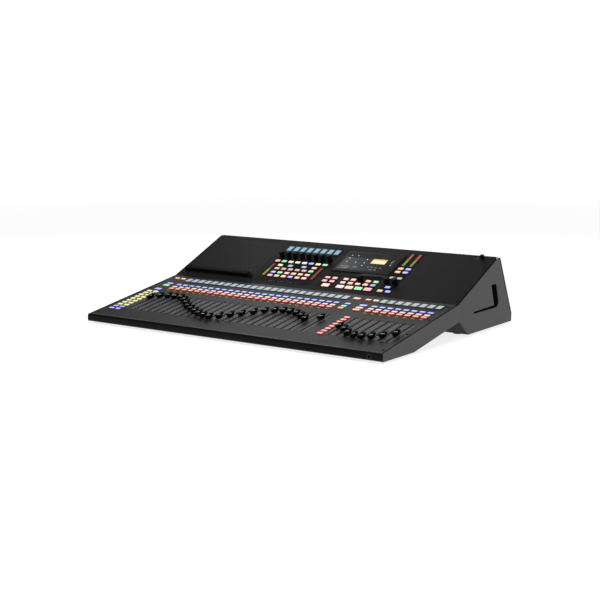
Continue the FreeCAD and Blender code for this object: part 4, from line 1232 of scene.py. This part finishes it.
@dataclass
class Touchscreen:
    """The touchscreen's picture in its bezel, and a low lip under it."""

    finishes: Finishes
    middle: Spot = (96.0, 134.0)
    size: Spot = (142.0, 78.0)
    height: float = 2.5
    readout: tuple[float, float, float, float] = (105.0, 144.0, 131.0, 152.0)
    dots: tuple[Spot, ...] = (
        (37.5, 147.0), (37.5, 130.7), (63.4, 130.7), (88.0, 147.0), (88.0, 118.4), (161.7, 129.5),
        (37.5, 160.0), (55.0, 161.0), (88.0, 131.0))
    dashes: tuple[tuple[float, float, float], ...] = (
        (108.0, 114.5, 7.0), (118.5, 114.5, 6.0), (129.0, 114.5, 7.0), (141.0, 114.5, 6.0),
        (120.0, 104.0, 7.0), (132.0, 104.0, 7.0),
        (160.5, 143.0, 7.0), (160.5, 137.0, 5.0), (160.5, 150.0, 6.0),
        (45.0, 110.0, 22.0), (45.0, 103.5, 16.0), (74.0, 110.0, 12.0))

    def build(self) -> None:
        """Lays the picture, what it shows and the lip."""
        picture = Bench.block("screen_picture", (*self.size, 0.3), (0, 0, self.height + 0.02))
        Bench.round_corners(picture, 1.2, 3)
        Bench.inset(picture, top_face, 0.5, -0.06)
        picture = Bench.laid("screen_picture", picture, [UPPER.at(*self.middle)])
        fix(picture, self.picture_finish(), "screen_glass")
        self.widgets()
        self.lip()

    def widgets(self) -> None:
        """Round controls, short lines and a warm readout on the picture."""
        level = self.height + 0.16
        knob = Bench.rod("dot", 1.5, 0.14, level, 14)
        Bench.round_off(knob, 0.06, 1)
        dots = Bench.laid("screen_dots", knob, [UPPER.at(*spot) for spot in self.dots])
        fix(dots, self.glow("screen_white", (0.75, 0.78, 0.80), 0.5), "screen_glass")
        parts = []
        for across, up, width in self.dashes:
            dash = Bench.block("dash", (width, 1.5, 0.14), (0, 0, level + 0.07))
            Bench.round_off(dash, 0.06, 1)
            parts.append(Bench.laid("dash", dash, [UPPER.at(across, up)]))
        lines = Bench.join("screen_lines", parts)
        fix(lines, self.glow("screen_grey", (0.35, 0.37, 0.38), 0.35), "screen_glass")
        left, right, low, high = self.readout
        box = Bench.block("readout", (right - left, high - low, 0.16), (0, 0, level + 0.08))
        Bench.round_off(box, 0.07, 1)
        box = Bench.laid("screen_readout", box, [UPPER.at((left + right) / 2, (low + high) / 2)])
        fix(box, self.readout_finish(), "screen_glass")

    def glow(self, name: str, colour: Colour, strength: float) -> bpy.types.Material:
        """A lit mark on the screen."""
        paint = Paint(name, 0.3, emission_strength=strength)
        speck = paint.grain(600.0, 2.0)
        shades = paint.blend(speck, tuple(0.8 * part for part in colour), colour)
        paint.light(shades)
        return paint.material

    def readout_finish(self) -> bpy.types.Material:
        """A warm yellow readout, orange along its upper edge and pale along its middle."""
        paint = Paint("screen_amber", 0.3, emission_strength=0.5)
        _, v, _ = paint.on(UPPER)
        low, high = self.readout[2:]
        edge = v.ramp(high - 6.0, high - 3.0)
        pale = v.near((low + high) / 2 - 1.5, 3.2)
        shades = paint.blend(edge, (0.72, 0.52, 0.20), (0.66, 0.28, 0.05))
        shades = paint.blend(pale, shades, (0.90, 0.80, 0.52))
        paint.light(shades)
        return paint.material

    def picture_finish(self) -> bpy.types.Material:
        """A dark screen: a grey page that fades towards the right, under a black header."""
        paint = Paint("screen_page", 0.3, emission_strength=0.4, specular_ior_level=0.04)
        x, v, _ = paint.on(UPPER)
        page = rectangle_mask(x, v, 26.0, 165.0, 97.0, 152.0)
        side = (x + v * 0.5).ramp(85.0, 200.0)
        grey = paint.blend(side, (0.060, 0.062, 0.065), (0.004, 0.004, 0.005))
        smear = paint.grain(16.0, 3.0)
        shades = paint.blend(page, (0.004, 0.004, 0.0045), grey)
        paint.light(shades)
        paint.feed("Roughness", smear * 0.12 + 0.2)
        return paint.material

    def lip(self) -> None:
        """A low dark ledge with round ends under the screen."""
        lip = Bench.block("bezel_lip", (70.0, 9.0, 2.0), (0, 0, 1.0))
        Bench.round_corners(lip, 4.2, 5)
        Bench.round_off(lip, 0.6, 2, 50)
        lip = Bench.laid("bezel_lip", lip, [UPPER.at(144.0, 80.4)])
        fix(lip, PowderCoat("bezel_grey", (0.012, 0.012, 0.013), 0.4, gloss=0.1).make(), "panel_paint")


# ---------------------------------------------------------------- print


@dataclass
class PanelPrint:
    """The printed scales beside the faders, the separators and the small marks."""

    finishes: Finishes
    rest: float = 66.0
    travel: float = 100.0
    step: float = 5.0
    wide: float = 13.4
    narrow: float = 9.0
    end_share: float = 0.45
    line: float = 0.9
    ink_height: float = 0.06

    def build(self) -> None:
        """Lays every printed mark."""
        self.scales()
        self.separators()
        self.glyph()

    def mark(self, width: float, length: float, corner: float = 0.0) -> bpy.types.Object:
        """One printed mark, as thick as ink."""
        made = Bench.block("mark", (width, length, 2 * self.ink_height))
        Bench.round_corners(made, corner or min(width, length) * 0.3, 1)
        return made

    def scales(self) -> None:
        """Scale lines between neighbouring slots, and short ones outside the first and last of a bank."""
        parts = []
        banks = (LEFT_BANK, (MAIN_COLUMN,), RIGHT_BANK)
        between = [column(number + 0.5) for bank in banks for number in list(bank)[:-1]]
        ends = [column(bank[at]) + side * 6.4 for bank in banks for at, side in ((0, -1), (-1, 1))]
        for row in range(int(self.travel / self.step) + 1):
            up = self.rest + row * self.step
            width = self.narrow if row % 2 else self.wide
            for columns, share in ((between, 1.0), (ends, self.end_share)):
                places = [LOWER.at(across, up) for across in columns]
                parts.append(Bench.laid("scale", self.mark(width * share, self.line), places))
        fix(Bench.join("fader_scales", parts), self.finishes.ink, "panel_paint")

    def separators(self) -> None:
        """Thin lines beside the group keys, and the tick row under the channel section."""
        start = GROUP_START - KEY_PITCH / 2
        lines = [LOWER.at(column(27) - 23.0, start + KEY_PITCH * row) for row in range(9)]
        piece = Bench.laid("group_lines", self.mark(24.0, 1.0), lines)
        fix(piece, self.finishes.faint, "panel_paint")
        ticks = [UPPER.at(-123.0 + 6.6 * row, 19.5) for row in range(13) if row % 4 != 3]
        piece = Bench.laid("section_ticks", self.mark(4.6, 2.0), ticks)
        fix(piece, self.finishes.faint, "panel_paint")

    def glyph(self) -> None:
        """A headphone mark beside the level knob: a bow and two cups."""
        bow = Bench.rod("bow", 3.4, 0.12, 0.0, 28)
        Bench.pick(bow, lambda centre, normal: normal.z > 0.9 or normal.z < -0.9)
        bpy.ops.mesh.delete(type="FACE")
        Bench.done()
        Bench.take(bow)
        wall = bow.modifiers.new("wall", "SOLIDIFY")
        wall.thickness = 0.8 * MM
        bpy.ops.object.modifier_apply(modifier=wall.name)
        Bench.pick(bow, any_face)
        bpy.ops.mesh.bisect(plane_co=(0, -0.6 * MM, 0), plane_no=(0, 1, 0), clear_inner=True, use_fill=True)
        Bench.done()
        places = [Matrix.Translation(Vector((side * 3.2, -1.6, self.ink_height)) * MM) for side in (-1, 1)]
        cups = Bench.laid("cups", self.mark(1.7, 3.2, 0.5), places)
        master = Bench.join("glyph", [bow, cups])
        piece = Bench.laid("headphone_marks", master, [UPPER.at(360.5, 196.0)])
        fix(piece, self.finishes.faint, "panel_paint")


# ---------------------------------------------------------------- rear


@dataclass
class RearSockets:
    """Metal contacts and fixings of the sockets on the rear wall."""

    finishes: Finishes
    input_start: float = -130.0
    output_start: float = -372.0
    pitch: float = 30.0
    rows: Spot = (121.0, 85.0)
    socket_row: float = 38.0
    pin_ring: float = 3.8
    inlet_across: float = -350.0
    blades: tuple[Spot, ...] = ((-7.0, -2.0), (0.0, 3.0), (7.0, -2.0))
    network_across: Spot = (-225.0, -203.0)
    contact_pitch: float = 1.27
    data_across: float = -172.0
    block_ends: tuple[Spot, ...] = ((-150.0, 340.0), (-392.0, -202.0))
    line_rows: Spot = (139.5, 64.5)

    def build(self) -> None:
        """Paints the bodies, and lays pins, latches, screws and contacts."""
        repaint("rear_inputs", MouldedPlastic("socket_black", (0.012, 0.012, 0.013), 0.4).make())
        repaint("rear_outputs", self.finishes.black)
        repaint("power_switch", self.finishes.black)
        outputs = [(self.output_start + self.pitch * number, row) for row in self.rows for number in range(6)]
        inputs = [(self.input_start + self.pitch * number, row) for row in self.rows for number in range(16)]
        self.pins(outputs)
        self.latches(inputs)
        self.screws(inputs + outputs)
        self.inlet()
        self.contacts()
        self.labels()

    def pins(self, spots: Sequence[Spot]) -> None:
        """Three round pins in every output cup."""
        pin = Bench.rod("pin", 1.2, 11.0, -15.4, 12)
        Bench.round_off(pin, 0.4, 2)
        turns = [math.radians(angle) for angle in (90, 210, 330)]
        ring = [(self.pin_ring * math.cos(turn), self.pin_ring * math.sin(turn)) for turn in turns]
        places = [REAR.at(x + dx, v + dy) for x, v in spots for dx, dy in ring]
        fix(Bench.laid("output_pins", pin, places), self.finishes.chrome, "connector_black")

    def latches(self, spots: Sequence[Spot]) -> None:
        """A thumb latch on the flange of every input."""
        latch = Bench.block("latch", (6.5, 3.4, 1.6), (0, 0, 2.6))
        Bench.round_off(latch, 0.5, 2)
        places = [REAR.at(x, v + 12.6) for x, v in spots]
        fix(Bench.laid("input_latches", latch, places), self.finishes.chrome, "connector_black")

    def screws(self, spots: Sequence[Spot]) -> None:
        """Two countersunk screws on every flange."""
        screw = Bench.rod("screw", 1.9, 0.8, 1.75, 12)
        Bench.round_off(screw, 0.3, 1)
        Bench.inset(screw, top_face, 0.6, -0.3)
        places = [REAR.at(x + dx, v + dy) for x, v in spots for dx, dy in ((-9.5, 12.0), (9.5, -12.0))]
        fix(Bench.laid("socket_screws", screw, places), self.finishes.chrome, "connector_black")

    def inlet(self) -> None:
        """Three flat pins in the mains inlet."""
        blade = Bench.block("blade", (2.0, 5.6, 13.0), (0, 0, -9.6))
        Bench.round_off(blade, 0.3, 1)
        places = [REAR.at(self.inlet_across + dx, self.socket_row + dy) for dx, dy in self.blades]
        fix(Bench.laid("inlet_pins", blade, places), self.finishes.chrome, "connector_black")

    def contacts(self) -> None:
        """Gold contacts in the network sockets and the tongue of the data socket."""
        strip = Bench.block("strip", (0.55, 1.0, 9.0), (0, 4.6, -7.0))
        Bench.round_off(strip, 0.15, 1)
        steps = [self.contact_pitch * (number - 3.5) for number in range(8)]
        places = [REAR.at(across + step, self.socket_row) for across in self.network_across for step in steps]
        fix(Bench.laid("network_contacts", strip, places), self.finishes.gold, "connector_black")
        tongue = Bench.block("tongue", (6.4, 3.4, 9.0), (0, 0, -8.0))
        Bench.round_off(tongue, 0.4, 2)
        piece = Bench.laid("data_tongue", tongue, [REAR.at(self.data_across, self.socket_row)])
        fix(piece, self.finishes.white, "connector_black")

    def labels(self) -> None:
        """Thin printed lines above and below each block of sockets."""
        parts = []
        for left, right in self.block_ends:
            for up in self.line_rows:
                line = Bench.block("line", (right - left, 0.7, 0.12))
                Bench.round_corners(line, 0.2, 1)
                parts.append(Bench.laid("line", line, [REAR.at((left + right) / 2, up)]))
        fix(Bench.join("rear_lines", parts), self.finishes.ink, "panel_paint")


# ---------------------------------------------------------------- studio


@dataclass
class Studio:
    """Floor, light and camera."""

    camera_place: tuple[float, float, float] = (1.6988, -2.3976, 0.5322)
    azimuth: float = 35.28
    elevation: float = 9.22
    lens: float = 75.46
    ceiling: float = 0.12

    def build(self) -> None:
        """Sets the floor, the lights and the camera."""
        self.floor()
        self.world()
        self.lamp("key_light", (0.2, -1.2, 2.8), (0.0, 0.0, 0.05), 2.6, 70.0)
        self.lamp("sheen_light", (-0.9, 1.15, 1.0), (0.18, -0.25, 0.03), 0.9, 5.0)
        self.lamp("side_light", (2.8, 1.6, 1.2), (0.4, 0.15, 0.08), 1.6, 22.0)
        self.camera()
        bpy.context.scene.view_settings.view_transform = "Standard"

    def floor(self) -> None:
        """A wide pale floor."""
        Bench.clear()
        bpy.ops.mesh.primitive_plane_add(size=40.0, location=(0, 0, 0))
        floor = bpy.context.active_object
        floor.name = "floor"
        paint = Paint("floor_pale", 0.9, emission_strength=1.0, specular_ior_level=0.0)
        cloud = paint.grain(1.5, 2.0)
        x, y, _ = paint.axes()
        far = (x * x + y * y).ramp(1.5e6, 3.0e7)
        paint.feed("Base Color", paint.blend(cloud, (0.33, 0.33, 0.33), (0.36, 0.36, 0.36)))
        paint.feed("Emission Color", paint.blend(far, (0.80, 0.80, 0.80), (1.0, 1.0, 1.0)))
        Bench.dress(floor, paint.material)

    def world(self) -> None:
        """White surroundings under a darker ceiling."""
        world = bpy.data.worlds.new("studio")
        world.use_nodes = True
        tree = world.node_tree
        direction = tree.nodes.new("ShaderNodeTexCoord")
        split = tree.nodes.new("ShaderNodeSeparateXYZ")
        ramp = tree.nodes.new("ShaderNodeMapRange")
        for number, value in enumerate((0.16, 0.42, 1.0, self.ceiling), start=1):
            ramp.inputs[number].default_value = value
        tree.links.new(direction.outputs["Generated"], split.inputs[0])
        tree.links.new(split.outputs[2], ramp.inputs[0])
        tree.links.new(ramp.outputs[0], tree.nodes["Background"].inputs[0])
        bpy.context.scene.world = world

    def lamp(self, name: str, place: Sequence[float], target: Sequence[float], size: float,
             power: float) -> None:
        """Adds a soft square lamp that points at a target."""
        data = bpy.data.lights.new(name, "AREA")
        data.size = size
        data.energy = power
        lamp = bpy.data.objects.new(name, data)
        bpy.context.scene.collection.objects.link(lamp)
        lamp.location = place
        lamp.rotation_euler = (Vector(target) - Vector(place)).to_track_quat("-Z", "Y").to_euler()

    def camera(self) -> None:
        """A long lens, low and from the operator's right."""
        data = bpy.data.cameras.new("camera")
        data.lens = self.lens
        data.sensor_width = 36.0
        data.clip_end = 100.0
        camera = bpy.data.objects.new("camera", data)
        bpy.context.scene.collection.objects.link(camera)
        camera.location = self.camera_place
        camera.rotation_euler = (math.radians(90.0 - self.elevation), 0.0, math.radians(self.azimuth))
        bpy.context.scene.camera = camera


def write_sizes() -> None:
    """Updates the view layer."""
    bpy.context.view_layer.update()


def main() -> None:
    """Builds every sub-assembly in order."""
    logging.basicConfig(level=logging.INFO, format="%(name)s: %(message)s")
    Bench.clear()
    finishes = Finishes()
    Studio().build()
    Case(finishes).build()
    Fixings(finishes).build()
    KeyField(finishes, "lower_buttons", LOWER, channel_keys() + bank_keys(), 1.8).build()
    KeyField(finishes, "upper_buttons", UPPER, section_keys(), 1.2).build()
    FaderCaps(finishes).build()
    Knobs(finishes).build()
    ChannelDisplays(finishes).build()
    LevelMeters(finishes).build()
    Touchscreen(finishes).build()
    PanelPrint(finishes).build()
    RearSockets(finishes).build()
    write_sizes()


if __name__ == "__main__":
    main()
